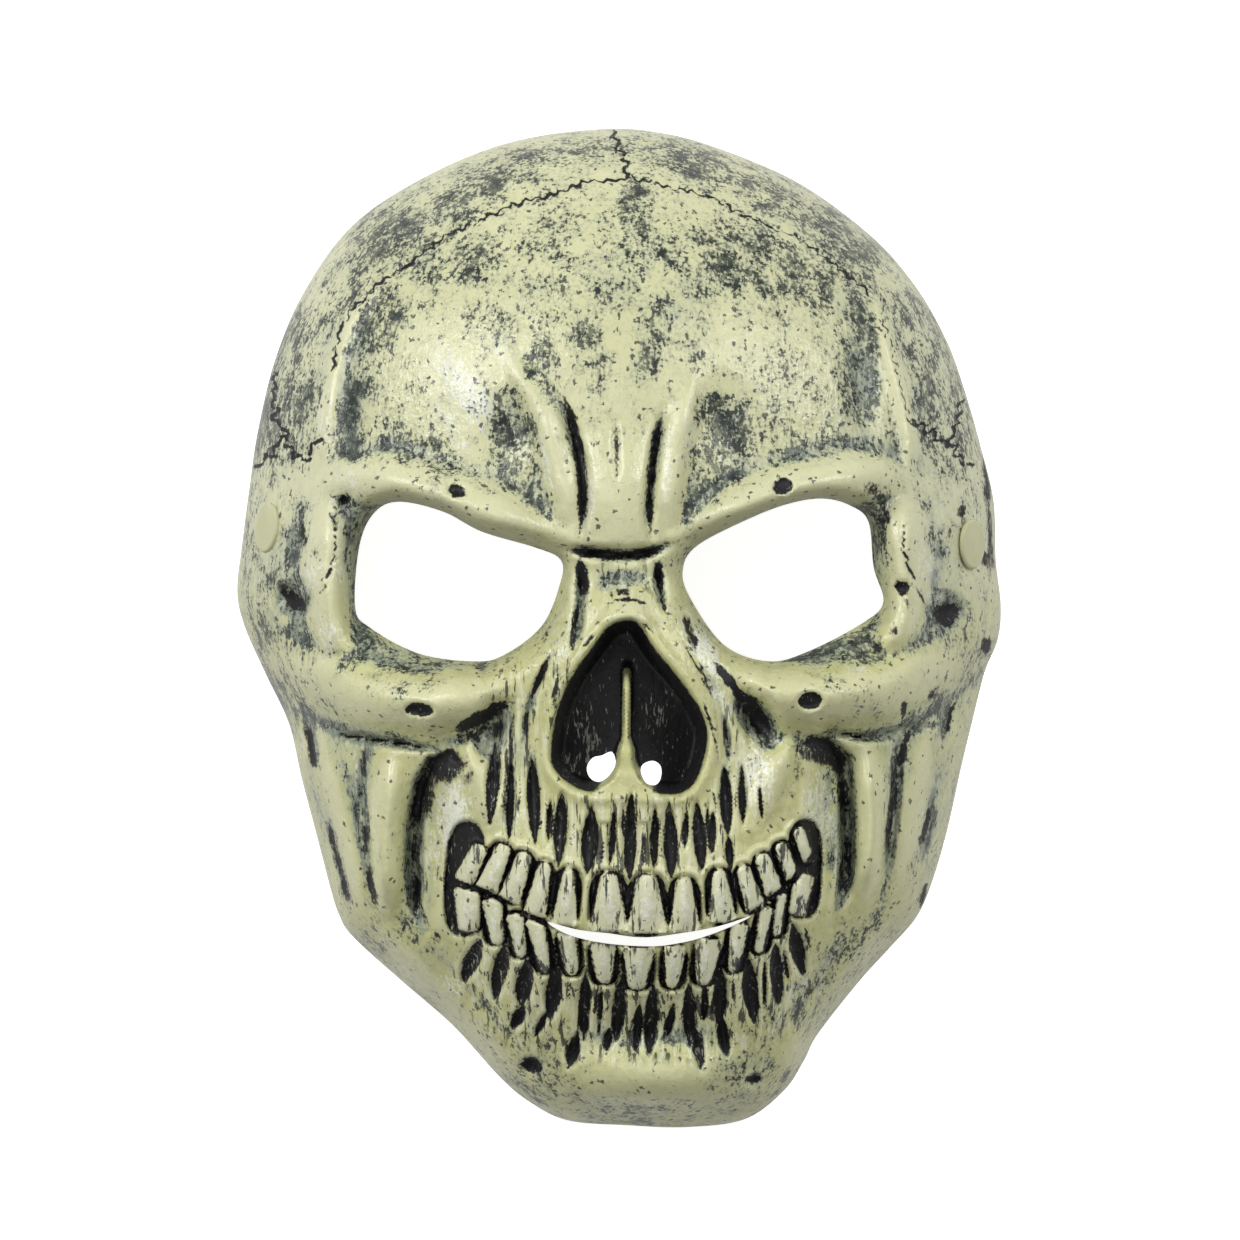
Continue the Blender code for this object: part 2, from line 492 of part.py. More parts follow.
def mouth_parts(x, y):
    """Socket recess, raised gum edge, teeth and slots, each from 0 to 1."""
    recess = np.zeros(x.shape)
    edge = np.zeros(x.shape)
    teeth = np.zeros(x.shape)
    slots = np.zeros(x.shape)
    for row in MOUTH_ENDS:
        near = around(x, y, [(row.x, row.y)], row.tall)
        r = socket_reach(x[near], y[near], row, 0.0)
        recess[near] = np.maximum(recess[near], ease((1.08 - r) / 0.16))
    for rows, way in ((UPPER_TEETH, 1.0), (LOWER_TEETH, -1.0)):
        for row in rows:
            near = around(x, y, [(row.x, row.y)], row.tall / 2 + row.wide / 2 + 2 * GUM_MARGIN)
            nx, ny = x[near], y[near]
            r = socket_reach(nx, ny, row, GUM_MARGIN)
            recess[near] = np.maximum(recess[near], ease((1.1 - r) / 0.18))
            edge[near] = np.maximum(edge[near], bell((r - 1.2) / 0.2))
            high = 0.6 + 0.4 * min(1.0, row.wide / 5.5)
            teeth[near] = np.maximum(teeth[near], high * tooth_face(nx, ny, row, way))
    for line in BITE_LINES:
        near = around(x, y, line, 3 * BITE_GAP)
        distance, along = to_line(x[near], y[near], line)
        teeth[near] *= 1.0 - 0.65 * bell(distance / BITE_GAP)
    for row in UPPER_SLOTS + LOWER_SLOTS:
        near = around(x, y, [(row.x, row.y)], row.length / 2 + row.wide)
        u, v = turned(x[near], y[near], row, row.lean)
        along = np.clip(1.0 - (2 * v / (row.length + 2.5)) ** 2, 0.0, None)
        width = row.wide * (0.12 + 0.68 * along)
        deep = min(1.0, 0.35 + 0.22 * row.wide)
        slots[near] = np.maximum(slots[near], deep * bell(u / width) * along**0.5)
    return recess, edge, teeth, slots


def mouth(x, y):
    """Teeth standing in sockets, under a raised gum edge, with long slots in the gums."""
    recess, edge, teeth, slots = mouth_parts(x, y)
    gum = (GUM_EDGE * edge - SLOT_DEPTH * slots) * (1.0 - recess)
    return TOOTH_HEIGHT * teeth + gum - GUM_RECESS * recess


def pits(x, y):
    deep = np.zeros(x.shape)
    for row in PITS:
        near = around(x, y, [(row.x, row.y)], 1.4 * max(row.wide, row.tall))
        u, v = turned(x[near], y[near], row, row.turn)
        reach = np.hypot(u / row.wide, v / row.tall)
        deep[near] = np.maximum(deep[near], PIT_DEPTH * ease(1.6 - 1.2 * reach))
    return deep


def carved(x, y):
    """The outer face, with all its relief but without the rivet seats."""
    u = share_out(x, y)
    relief = bones(x, y) - sockets(x, y) + nose(x, y) + mouth(x, y) - pits(x, y)
    floor = rim_level(y)
    return np.maximum(dome(x, y) + relief * ease((1.0 - u) / RIM_FADE), floor)


def seat_plane(rivet):
    """The middle of a rivet's seat and the direction it faces, from the plain dome there."""
    step = 1.5
    xs = np.array([rivet.x, rivet.x + step, rivet.x - step, rivet.x, rivet.x])
    ys = np.array([rivet.y, rivet.y, rivet.y, rivet.y + step, rivet.y - step])
    z = dome(xs, ys)
    facing = Vector((-(z[1] - z[2]) / (2 * step), -(z[3] - z[4]) / (2 * step), 1.0)).normalized()
    return Vector((rivet.x, rivet.y, z[0])), facing


SEATS = [seat_plane(rivet) for rivet in RIVETS]


def face(x, y):
    """Height of the outer face at each place."""
    z = carved(x, y)
    for middle, facing in SEATS:
        plane = middle.z - (facing.x * (x - middle.x) + facing.y * (y - middle.y)) / facing.z
        off = np.sqrt((x - middle.x) ** 2 + (y - middle.y) ** 2 + (plane - middle.z) ** 2)
        z = z + (plane - z) * ease((SEAT_RADIUS - off) / 2.2)
    return z


def lining(x, y):
    """Height of the inner face: a ball of the wall's radius rolled along under the outer face."""
    low = face(x, y) - WALL
    for share in (0.45, 0.8, 0.98):
        for turn in range(12):
            angle = 2 * math.pi * (turn + share) / 12
            r = share * WALL
            there = face(x + r * math.cos(angle), y + r * math.sin(angle))
            low = np.minimum(low, there - math.sqrt(WALL**2 - r * r))
    return np.maximum(low, rim_level(y))


def moved_in(loop, distance):
    """A loop moved towards its inside."""
    ahead = np.roll(loop, -1, axis=0) - np.roll(loop, 1, axis=0)
    side = np.stack([-ahead[:, 1], ahead[:, 0]], axis=1) / np.hypot(*ahead.T)[:, None]
    area = np.sum(loop[:, 0] * np.roll(loop[:, 1], -1) - np.roll(loop[:, 0], -1) * loop[:, 1])
    return loop + side * distance * math.copysign(1.0, area)


def lattice(coarse, fine):
    """Staggered points over the whole face, closer together round the nose and mouth."""
    found = []
    for step, wanted in ((coarse, False), (fine, True)):
        xs = np.arange(-104.0, 104.0, step)
        ys = np.arange(-134.0, 134.0, step * 0.866)
        gx, gy = np.meshgrid(xs, ys)
        gx = gx + (np.arange(len(ys))[:, None] % 2) * step / 2
        x0, y0, x1, y1 = FINE_BOX
        within = (gx > x0) & (gx < x1) & (gy > y0) & (gy < y1)
        found.append(np.stack([gx[within == wanted], gy[within == wanted]], axis=1))
    return np.vstack(found)


def open_line(points, step):
    """Even points along an open line."""
    p = np.array(points)
    gone = np.concatenate([[0.0], np.cumsum(np.hypot(*np.diff(p, axis=0).T))])
    wanted = np.linspace(0.0, gone[-1], max(2, round(gone[-1] / step) + 1))
    return np.stack([np.interp(wanted, gone, p[:, i]) for i in (0, 1)], axis=1)


def crease_lines():
    """Lines along each groove and beside it, so that the triangles follow the groove."""
    lines = []
    for row in GROOVES:
        middle = open_line(row.points, 1.6)
        ahead = np.gradient(middle, axis=0)
        side = np.stack([-ahead[:, 1], ahead[:, 0]], axis=1) / np.hypot(*ahead.T)[:, None]
        lines += [middle + side * row.wide * share for share in (-1.0, -0.5, 0.0, 0.5, 1.0)]
    return lines


def sheet(loops, extra, scatter, keep_off, margin):
    """Triangles over the first loop, less the holes of the others. Loop points come first."""
    holes = loops[1:]
    x, y = scatter.T
    keep = inside_by(x, y, loops[0]) > margin
    for hole in holes:
        keep &= inside_by(x, y, hole) < -keep_off
    placed = np.zeros((0, 2))
    for line in extra:
        line = line[inside_by(line[:, 0], line[:, 1], loops[0]) > 0.3]
        for hole in holes:
            line = line[inside_by(line[:, 0], line[:, 1], hole) < -0.4]
        if len(placed):
            apart = np.hypot(*(line[:, None] - placed[None]).transpose(2, 0, 1)).min(axis=1)
            line = line[apart > keep_off * 0.7]
        placed = np.vstack([placed, line])
    tree = KDTree(len(placed))
    for i, (px, py) in enumerate(placed):
        tree.insert((px, py, 0.0), i)
    tree.balance()
    scatter = scatter[keep]
    free = [tree.find((px, py, 0.0))[2] > keep_off for px, py in scatter] if len(placed) else True
    points = np.vstack(list(loops) + [placed, scatter[free]])
    edges = []
    start = 0
    for loop in loops:
        edges += [(start + i, start + (i + 1) % len(loop)) for i in range(len(loop))]
        start += len(loop)
    out = delaunay_2d_cdt([Vector(p) for p in points.tolist()], edges, [], 0, 1e-5, True)
    origin = [ids[0] for ids in out[3]]
    faces = np.array([[origin[i] for i in face_ids] for face_ids in out[2]])
    middle = points[faces].mean(axis=1)
    good = inside_by(middle[:, 0], middle[:, 1], loops[0]) > 0
    for hole in holes:
        good &= inside_by(middle[:, 0], middle[:, 1], hole) < 0
    return points, faces[good]


def dome_ring(loop, angle):
    """The outline drawn in to where the dome has climbed by an angle, so that rings suit its steep side."""
    dx = loop[:, 0] - DOME_MIDDLE[0]
    dy = loop[:, 1] - DOME_MIDDLE[1]
    share = math.cos(angle) ** (2.0 / dome_power(loop[:, 0], loop[:, 1]))
    return np.stack([DOME_MIDDLE[0] + dx * share, DOME_MIDDLE[1] + dy * share], axis=1)


def fresh_scene():
    for old in list(bpy.data.objects):
        bpy.data.objects.remove(old, do_unlink=True)
    for old in list(bpy.data.collections):
        bpy.data.collections.remove(old)
    shown = bpy.data.collections.new("skull_mask")
    cutters = bpy.data.collections.new("skull_mask_cutters")
    bpy.context.scene.collection.children.link(shown)
    bpy.context.scene.collection.children.link(cutters)
    return shown, cutters


def painted(name, colour, roughness):
    material = bpy.data.materials.new(name)
    material.use_nodes = True
    shader = material.node_tree.nodes["Principled BSDF"]
    shader.inputs["Base Color"].default_value = (*colour, 1.0)
    shader.inputs["Roughness"].default_value = roughness
    return material


def new_object(name, points, faces, collection):
    mesh = bpy.data.meshes.new(name)
    mesh.from_pydata((np.asarray(points) * MM).tolist(), [], [list(map(int, f)) for f in faces])
    work = bmesh.new()
    work.from_mesh(mesh)
    bmesh.ops.recalc_face_normals(work, faces=work.faces)
    work.to_mesh(mesh)
    work.free()
    obj = bpy.data.objects.new(name, mesh)
    collection.objects.link(obj)
    return obj


def settle(obj):
    """Puts what the modifiers make into the object's own mesh."""
    bpy.context.view_layer.update()
    graph = bpy.context.evaluated_depsgraph_get()
    made = bpy.data.meshes.new_from_object(obj.evaluated_get(graph))
    obj.modifiers.clear()
    obj.data = made


def centring(mesh):
    """The move that brings the middle of a mesh's outline over the origin."""
    places = np.array([vertex.co for vertex in mesh.vertices])
    middle = (places.min(axis=0) + places.max(axis=0)) / 2
    return Matrix.Translation((-middle[0], -middle[1], 0.0))


def shell_mesh():
    """Points and faces of the closed shell: outer sheet, inner sheet and the edges between them."""
    outline = rounded_loop(OUTLINE, RIM_POINTS)
    holes = EYE_LOOPS + NOSTRIL_LOOPS + [SLIT_LOOP]
    rings = [dome_ring(outline, angle) for angle in DOME_RINGS]
    rings += [moved_in(NOSE_LOOP, inward) for inward in NOSE_RINGS]
    rings += [moved_in(loop, -out) for loop in EYE_LOOPS for out in SOCKET_RINGS]
    scatter = lattice(LATTICE_STEP, FINE_STEP)
    outer, outer_faces = sheet([outline] + holes, rings + crease_lines(), scatter, 0.7, 10.5)
    inner_edge = moved_in(outline, WALL)
    rings = [moved_in(inner_edge, inward) for inward in INNER_RINGS]
    scatter = lattice(INNER_STEP, INNER_FINE_STEP)
    inner, inner_faces = sheet([inner_edge] + holes, rings, scatter, 1.1, 9.8)

    top = face(outer[:, 0], outer[:, 1])
    top[: len(outline)] = rim_level(outline[:, 1])
    under = lining(inner[:, 0], inner[:, 1])
    under[: len(outline)] = rim_level(outline[:, 1])
    points = np.vstack([np.column_stack([outer, top]), np.column_stack([inner, under])])
    shift = len(outer)
    faces = [tuple(f) for f in outer_faces] + [tuple(shift + f[::-1]) for f in inner_faces]
    start = 0
    for loop in [outline] + holes:
        count = len(loop)
        for i in range(count):
            a = start + i
            b = start + (i + 1) % count
            faces.append((a, b, shift + b))
            faces.append((a, shift + b, shift + a))
        start += count
    return points, faces


def turned_to(middle, facing):
    """The matrix that stands a piece made along Z on a rivet's seat."""
    return Matrix.Translation(middle * MM) @ facing.to_track_quat("Z", "Y").to_matrix().to_4x4()


def turned_piece(name, profile, steps, collection):
    """A solid turned about Z from a profile of radius and height in mm that ends on the axis."""
    mesh = bpy.data.meshes.new(name)
    points = [(radius * MM, 0.0, height * MM) for radius, height in profile]
    mesh.from_pydata(points, [(i, i + 1) for i in range(len(points) - 1)], [])
    obj = bpy.data.objects.new(name, mesh)
    collection.objects.link(obj)
    spin = obj.modifiers.new("turn", "SCREW")
    spin.angle = 2 * math.pi
    spin.steps = steps
    spin.render_steps = steps
    spin.use_merge_vertices = True
    spin.merge_threshold = 0.00001
    spin.use_normal_calculate = True
    settle(obj)
    work = bmesh.new()
    work.from_mesh(obj.data)
    bmesh.ops.recalc_face_normals(work, faces=work.faces)
    work.to_mesh(obj.data)
    work.free()
    return obj


def drill(name, radius, length, collection):
    """A plain cylinder to cut a hole with."""
    mesh = bpy.data.meshes.new(name)
    work = bmesh.new()
    bmesh.ops.create_cone(
        work,
        cap_ends=True,
        segments=32,
        radius1=radius * MM,
        radius2=radius * MM,
        depth=length * MM,
    )
    work.to_mesh(mesh)
    work.free()
    obj = bpy.data.objects.new(name, mesh)
    obj.hide_render = True
    obj.display_type = "WIRE"
    collection.objects.link(obj)
    return obj


def rivet_profile():
    """Flange under the wall, post through it, and the flat head with a rounded edge."""
    gap = RIVET_GAP
    under = -WALL - gap - 0.25
    top = gap + RIVET_HEAD_THICK
    r = RIVET_HEAD_RADIUS
    return (
        (0.0, under - RIVET_FLANGE_THICK),
        (RIVET_FLANGE_RADIUS - 0.3, under - RIVET_FLANGE_THICK),
        (RIVET_FLANGE_RADIUS, under - RIVET_FLANGE_THICK + 0.3),
        (RIVET_FLANGE_RADIUS, under),
        (RIVET_POST_RADIUS, under),
        (RIVET_POST_RADIUS, gap),
        (r, gap),
        (r, top - 0.5),
        (r - 0.2, top - 0.15),
        (r - 0.6, top),
        (0.0, top),
    )


def build():
    shown, cutters = fresh_scene()
    bone = painted("bone_plastic", (0.66, 0.63, 0.40), 0.5)
    cream = painted("rivet_plastic", (0.64, 0.62, 0.42), 0.45)

    points, faces = shell_mesh()
    shell = new_object("mask_shell", points, faces, shown)
    shell.data.materials.append(bone)
    shrink = shell.modifiers.new("fewer_faces", "DECIMATE")
    shrink.decimate_type = "COLLAPSE"
    shrink.use_collapse_triangulate = True
    shrink.ratio = min(1.0, SHELL_TRIANGLES / len(shell.data.polygons))
    settle(shell)
    for vertex in shell.data.vertices:
        if abs(vertex.co.z) < 0.05 * MM:
            vertex.co.z = 0.0
    to_origin = centring(shell.data)
    shell.data.transform(to_origin)

    for rivet, (middle, facing) in zip(RIVETS, SEATS):
        place = to_origin @ turned_to(middle, facing)
        cutter = drill(rivet.name + "_hole", RIVET_HOLE_RADIUS, 14.0, cutters)
        cutter.matrix_world = place
        cut = shell.modifiers.new(rivet.name + "_hole", "BOOLEAN")
        cut.operation = "DIFFERENCE"
        cut.solver = "EXACT"
        cut.object = cutter
        pin = turned_piece(rivet.name, rivet_profile(), RIVET_SIDES, shown)
        pin.matrix_world = place
        pin.data.materials.append(cream)
        for polygon in pin.data.polygons:
            polygon.use_smooth = True
        pin.data.set_sharp_from_angle(angle=math.radians(35))
    for polygon in shell.data.polygons:
        polygon.use_smooth = True
    shell.data.set_sharp_from_angle(angle=math.radians(38))


build()
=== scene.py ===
import math
from collections import namedtuple

import bpy
import numpy as np
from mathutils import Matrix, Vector
from mathutils.geometry import delaunay_2d_cdt
from mathutils.kdtree import KDTree


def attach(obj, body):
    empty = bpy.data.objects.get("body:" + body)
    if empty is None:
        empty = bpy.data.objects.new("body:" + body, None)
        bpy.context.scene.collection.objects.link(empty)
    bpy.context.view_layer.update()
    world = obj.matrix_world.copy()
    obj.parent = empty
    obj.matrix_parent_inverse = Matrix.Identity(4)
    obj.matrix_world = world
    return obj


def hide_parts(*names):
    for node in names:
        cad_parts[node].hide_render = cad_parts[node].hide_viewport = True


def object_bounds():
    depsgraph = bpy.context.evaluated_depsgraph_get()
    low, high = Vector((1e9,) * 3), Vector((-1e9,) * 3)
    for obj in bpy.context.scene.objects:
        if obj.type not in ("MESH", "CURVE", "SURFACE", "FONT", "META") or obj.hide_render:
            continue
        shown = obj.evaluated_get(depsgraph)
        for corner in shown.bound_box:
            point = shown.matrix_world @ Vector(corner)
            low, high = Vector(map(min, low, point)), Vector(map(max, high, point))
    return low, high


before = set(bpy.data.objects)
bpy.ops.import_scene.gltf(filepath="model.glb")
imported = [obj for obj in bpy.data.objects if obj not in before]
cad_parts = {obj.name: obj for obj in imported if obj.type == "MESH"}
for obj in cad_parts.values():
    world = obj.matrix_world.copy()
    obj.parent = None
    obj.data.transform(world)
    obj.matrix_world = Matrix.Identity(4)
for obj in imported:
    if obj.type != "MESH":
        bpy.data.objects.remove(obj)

CAD_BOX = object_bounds()

# Lengths in the tables are millimetres from the middle of the outline, as in the part's source.
MM = 0.001
WALL = 2.1
DOME_HEIGHT = 74.0
DOME_MIDDLE = (0.0, 5.0)
DOME_POWER = 2.3
JAW_POWER = 1.1
CHIN_LIFT = 12.0
RIM_FADE = 0.07

SOCKET_DEPTH = 10.0
SOCKET_ROLL_TOP = 3.8
SOCKET_ROLL_LOW = 8.5
NOSE_DEPTH = 19.0
NOSE_WALL = 4.2
NOSE_LIP = 0.9
SEPTUM_HEIGHT = 12.0
NOSE_REACH = 7.0

TOOTH_HEIGHT = 5.0
BITE_GAP = 1.2
GUM_RECESS = 2.6
GUM_MARGIN = 1.7
GUM_EDGE = 0.7
SLOT_DEPTH = 3.0
PIT_DEPTH = 2.6

SEAT_RADIUS = 9.5

INNER_RINGS = (0.35, 0.9, 2.0, 4.2, 7.5)
FINE_BOX = (-52.0, -112.0, 56.0, 6.0)

Blob = namedtuple("Blob", "where x y wide tall turn high")
Line = namedtuple("Line", "where high wide points")
Tooth = namedtuple("Tooth", "x y wide tall lean taper")
Slot = namedtuple("Slot", "x y length wide lean")
Pit = namedtuple("Pit", "x y wide tall turn")
Rivet = namedtuple("Rivet", "name x y")
Crack = namedtuple("Crack", "name wide jag points")
Patch = namedtuple("Patch", "x y wide tall turn strength")
Stroke = namedtuple("Stroke", "strength wide points")
Light = namedtuple("Light", "name place aim size power")


def rows_of(kind, *rows):
    """A table whose columns are the kind's own, from rows in the same order."""
    return tuple(kind(*row) for row in rows)


def lines_of(kind, *rows):
    """A table that ends in lines. In a row, x and y of each point follow the other cells."""
    cells = len(kind._fields) - 1
    return tuple(kind(*row[:cells], tuple(zip(row[cells::2], row[cells + 1 :: 2]))) for row in rows)


OUTLINE = (
    (-4.8, 130.4), (-28.5, 127), (-50.1, 118.4), (-69.5, 105.7), (-82.3, 88.5),
    (-90.1, 70.6), (-94.8, 51.4), (-97.1, 35.8), (-98.9, 22), (-100.2, 9.8),
    (-98.4, 0.7), (-93, -11.6), (-86.7, -25.1), (-83.3, -39.6), (-79.7, -53.2),
    (-75.8, -68.2), (-73.7, -74.8), (-70.1, -80.7), (-56.8, -92.7), (-43.6, -104.1),
    (-31.9, -116.9), (-24.3, -123.4), (-13.9, -128.6), (1.7, -129.9), (17.3, -130.4),
    (32.6, -128.3), (42.8, -120.8), (48, -113), (51.6, -106.2), (62.3, -92.7),
    (70.3, -83.9), (77.6, -75.5), (81.8, -65.7), (85.7, -52.1), (89, -37.1),
    (91.9, -25.1), (95.3, -11.6), (98.7, -3.2), (99.5, 5.9), (98.2, 17.6),
    (97.6, 33.1), (94.2, 47.5), (90.1, 61.8), (85.2, 75.3), (76.8, 89.8),
    (65.1, 102.8), (46.9, 116.1), (27.4, 124.7), (11.3, 129.3),
)
EYE_LEFT = (
    (-57.3, 32.6), (-45.9, 30), (-35.8, 24.8), (-22, 20.7), (-15.5, 17.6),
    (-15.5, 11.8), (-20.4, 0.4), (-30.8, -7.4), (-38.9, -8.7), (-52.6, -6.6),
    (-65.1, 0.1), (-68.8, 5.3), (-67.7, 21.2), (-63.8, 29.8),
)
EYE_RIGHT = (
    (52.6, 33.4), (59.7, 31.6), (64.4, 27.4), (65.7, 15.7), (68.2, 6.6),
    (62.8, 1.2), (48.8, -6.1), (38.4, -8.7), (26.9, -4.5), (18.1, 7.7),
    (16.2, 15), (19.9, 21.2), (33.4, 28.2), (43.8, 32.1),
)
NOSE_PIT = (
    (1.7, 2.2), (-3, 0.4), (-7.7, -5.3), (-12.9, -12.9), (-16.5, -21.4),
    (-18.1, -30.6), (-17.3, -36.5), (-11.8, -41.5), (-5.6, -42.8), (1.7, -42.2),
    (8.7, -43), (15.7, -43), (20.2, -38.6), (22.8, -28.7), (20.9, -21.4),
    (16, -13.7), (9.5, -5.9), (5.1, 0.9),
)
NOSTRIL_LEFT = (
    (-2.2, -32.1), (-1.2, -35), (-2.5, -37.8), (-5.1, -39.9), (-7.7, -39.1),
    (-8.7, -36.3), (-7.2, -33.7), (-4.8, -33.1),
)
NOSTRIL_RIGHT = (
    (6.4, -35), (8.7, -34.5), (10.5, -36), (10.5, -38.9), (9.2, -40.7),
    (6.9, -40.4), (5.6, -38.4), (5.3, -36.3),
)
MOUTH_SLIT = (
    (-18.9, -76), (-11.6, -77.9), (-3.5, -78.9), (6.1, -80), (15.7, -78.9),
    (25.6, -77.1), (33.9, -74.5), (30.8, -76.3), (24.6, -78.9), (17.8, -81),
    (9.5, -82.3), (0.1, -82), (-8.7, -80.7), (-15, -78.7),
)
BLOBS = rows_of(
    Blob,
    ("forehead", 0.1, 77.4, 78, 54.6, 0, 5), ("glabella", -0.4, 33.1, 19.5, 22.1, 0, 5),
    ("bridge_saddle", 1.4, 12.3, 15.6, 11.7, 0, -3), ("bridge_hump", 1.7, 5.3, 10.4, 8.8, 0, 3),
    ("nose", 1.7, -20.2, 32.5, 39, 0, 8), ("muzzle", 3.2, -65.7, 58.5, 42.9, 0, 9),
    ("chin", 8.7, -119.7, 35.1, 15.6, 0, 8), ("chin_hollow", 8.7, -106, 31.2, 9.4, 0, -1.5),
    ("brow_dent_left", -27.7, 51.9, 9.4, 16.1, -20, -2.6),
    ("brow_dent_right", 27.7, 52.6, 10.9, 16.1, 12, -2.6),
    ("temple_dent_right", 62.5, 62.3, 6.8, 17.2, 8, -1.8),
    ("temple_dent_left", -70.1, 54, 5.7, 15.6, -5, -1.2),
    ("cheek_hollow_left", -51.5, -55, 10.4, 28.6, -4, -7.5),
    ("cheek_hollow_right", 56.5, -48.5, 9.6, 27.3, 3, -8.5),
    ("wedge_left", -33.1, -26.1, 6.2, 12, -12, -5.5), ("wedge_right", 35.2, -23, 6.8, 12, 25, -5.5),
    ("cheek_boss_left", -59, -19.2, 25, 10.6, 8, 3), ("cheek_boss_right", 63, -18.2, 25, 10.6, -8, 3),
    ("temple_pit_left", -84.6, 7.7, 6.8, 6.8, 0, -4.5),
    ("temple_pit_right", 84.4, 5.1, 6.8, 6.2, 0, -4.5),
    ("mouth_corner_left", -44.1, -63.1, 6.2, 18.2, 0, -2),
    ("mouth_corner_right", 52.1, -61, 6.2, 17.2, 0, -2),
)
RIDGES = lines_of(
    Line,
    ("brow_left", 8, 9.4, -78.9, 35.2, -70.1, 38.9, -57.6, 37.8, -43.3, 33.4, -27.7, 27.4, -14.4, 22),
    ("brow_right", 8, 9.4, 77.1, 35.8, 66.7, 39.1, 56.3, 38.4, 42.5, 35.2, 27.7, 29, 16.2, 22.8),
    ("orbit_side_left", 6, 7.8, -75.8, 38.9, -77.4, 17.6, -74.8, -3.2, -64.9, -14.7),
    ("orbit_side_right", 6, 7.8, 74, 38.9, 74.5, 17.6, 72.9, -0.7, 64.1, -13.7),
    ("cheekbone_left", 9.5, 12, -94.5, -3.8, -81, -11.6, -65.4, -17.3, -49.8, -19.9, -34.2, -16.8,
     -23.8, -9),
    ("cheekbone_right", 9.5, 12, 94.5, -3.8, 82.8, -9.8, 67.2, -15.7, 50.3, -18.3, 37.3, -15.7, 25.6,
     -7.9),
    ("temporal_line_left", 2.2, 3.6, -58.4, 92.4, -70.6, 80, -75, 65.7, -76.8, 51.4, -77.9, 38.4),
    ("temporal_line_right", 2.6, 3.6, 65.1, 89.8, 68.8, 76, 71.6, 66.4, 74, 56.6, 75.5, 48.8, 74, 35.8),
    ("fold_left", 2.6, 5.2, -29.5, 71.6, -19.1, 51.4, -14.4, 33.1, -16, 22.8),
    ("fold_right", 2.6, 5.2, 18.9, 64.4, 14.7, 48.8, 13.1, 33.1, 15.2, 24.1),
    ("maxilla_strut_left", 3, 5.2, -39.4, -29.8, -35.2, -42.2, -31.6, -52.6),
    ("maxilla_strut_right", 3, 5.2, 43.8, -29.8, 38.1, -42.2, 35, -51.4),
    ("masseter_left", 4.5, 6.2, -59.7, -29.8, -61.8, -52.6, -61.2, -77.4),
    ("masseter_right", 4.5, 6.2, 64.1, -29.8, 65.1, -50.6, 63.6, -72.2),
    ("jaw_ridge_left", 2.6, 4.7, -77.9, -29.2, -72.4, -52.6, -66.4, -74.8),
    ("jaw_ridge_right", 2.6, 4.7, 80.2, -24.1, 76.6, -44.9, 71.9, -68.2),
    ("jaw_border_left", 3.5, 7.8, -70.1, -72.2, -52.4, -89.6, -33.7, -110.4, -19.9, -122.9),
    ("jaw_border_right", 3.5, 7.8, 74.5, -72.2, 61, -89.6, 48.5, -107.2, 38.6, -121.5),
)
GROOVES = lines_of(
    Line,
    ("furrow_left", 3.2, 2.3, -18.1, 62.3, -12.9, 52.6, -10, 43, -9, 31.9, -10.3, 21.4),
    ("furrow_right", 3.2, 2.3, 11.1, 57.1, 9, 46.1, 7.9, 36.8, 7.2, 29.2, 7.9, 20.7),
    ("furrow_middle", 1, 1.8, -1.4, 54.5, -0.9, 36.3),
    ("under_brow", 4.5, 2.6, -15.5, 20.7, -6.1, 19.4, 1.7, 18.6, 7.9, 19.6, 14.2, 21.7),
    ("bridge_slot_left", 3.5, 2.1, -10, 17, -10.3, 7.2, -11.3, -4.8),
    ("bridge_slot_right", 3.5, 1.8, 9.2, 17, 10, 10.3, 11.1, 4.5),
    ("cheek_crease_left", 2.6, 1.8, -77.9, -24.6, -71.4, -27.9, -59.7, -29.8, -50.3, -31.1, -44.5, -33),
    ("cheek_crease_right", 2.6, 1.8, 84.1, -24.6, 73.7, -26.7, 64.6, -28.5, 55.5, -27.4, 48.4, -28.6),
    ("hollow_edge_left", 5, 3.2, -41, -36, -44.6, -33.2, -48.8, -35, -51.6, -41, -53.2, -50, -53.7,
     -60.5, -53.2, -72.2, -50.3, -78.7),
    ("hollow_edge_right", 5, 3.2, 46.4, -31.3, 50.6, -29.5, 54.7, -30.3, 57.6, -33.9, 58.9, -41, 59.2,
     -50.1, 59.4, -60.5, 57.3, -69.6, 54.7, -77.4),
    ("side_left_1", 3, 2.1, -81.5, -22, -78.9, -36.5),
    ("side_left_2", 3, 2.1, -76.3, -48, -73.2, -60.5, -70.1, -72.2),
    ("side_left_3", 2.2, 2.1, -67.5, -34.5, -66.4, -52.6, -64.4, -72.2),
    ("side_right_1", 3, 2.3, 72.4, -26.1, 71.4, -44.9, 68.2, -70.9),
    ("side_right_2", 2.2, 2.1, 84.9, -18.3, 83.9, -29.8),
    ("side_right_3", 2.2, 2.1, 81.2, -42.2, 78.7, -63.6),
    ("nose_side_left", 1.4, 1.5, -17.8, -6.4, -21.7, -15, -24.5, -24, -24.8, -32),
    ("nose_side_right", 1.4, 1.5, 20, -8, 24.5, -17, 27.5, -26.5, 28.5, -37),
)
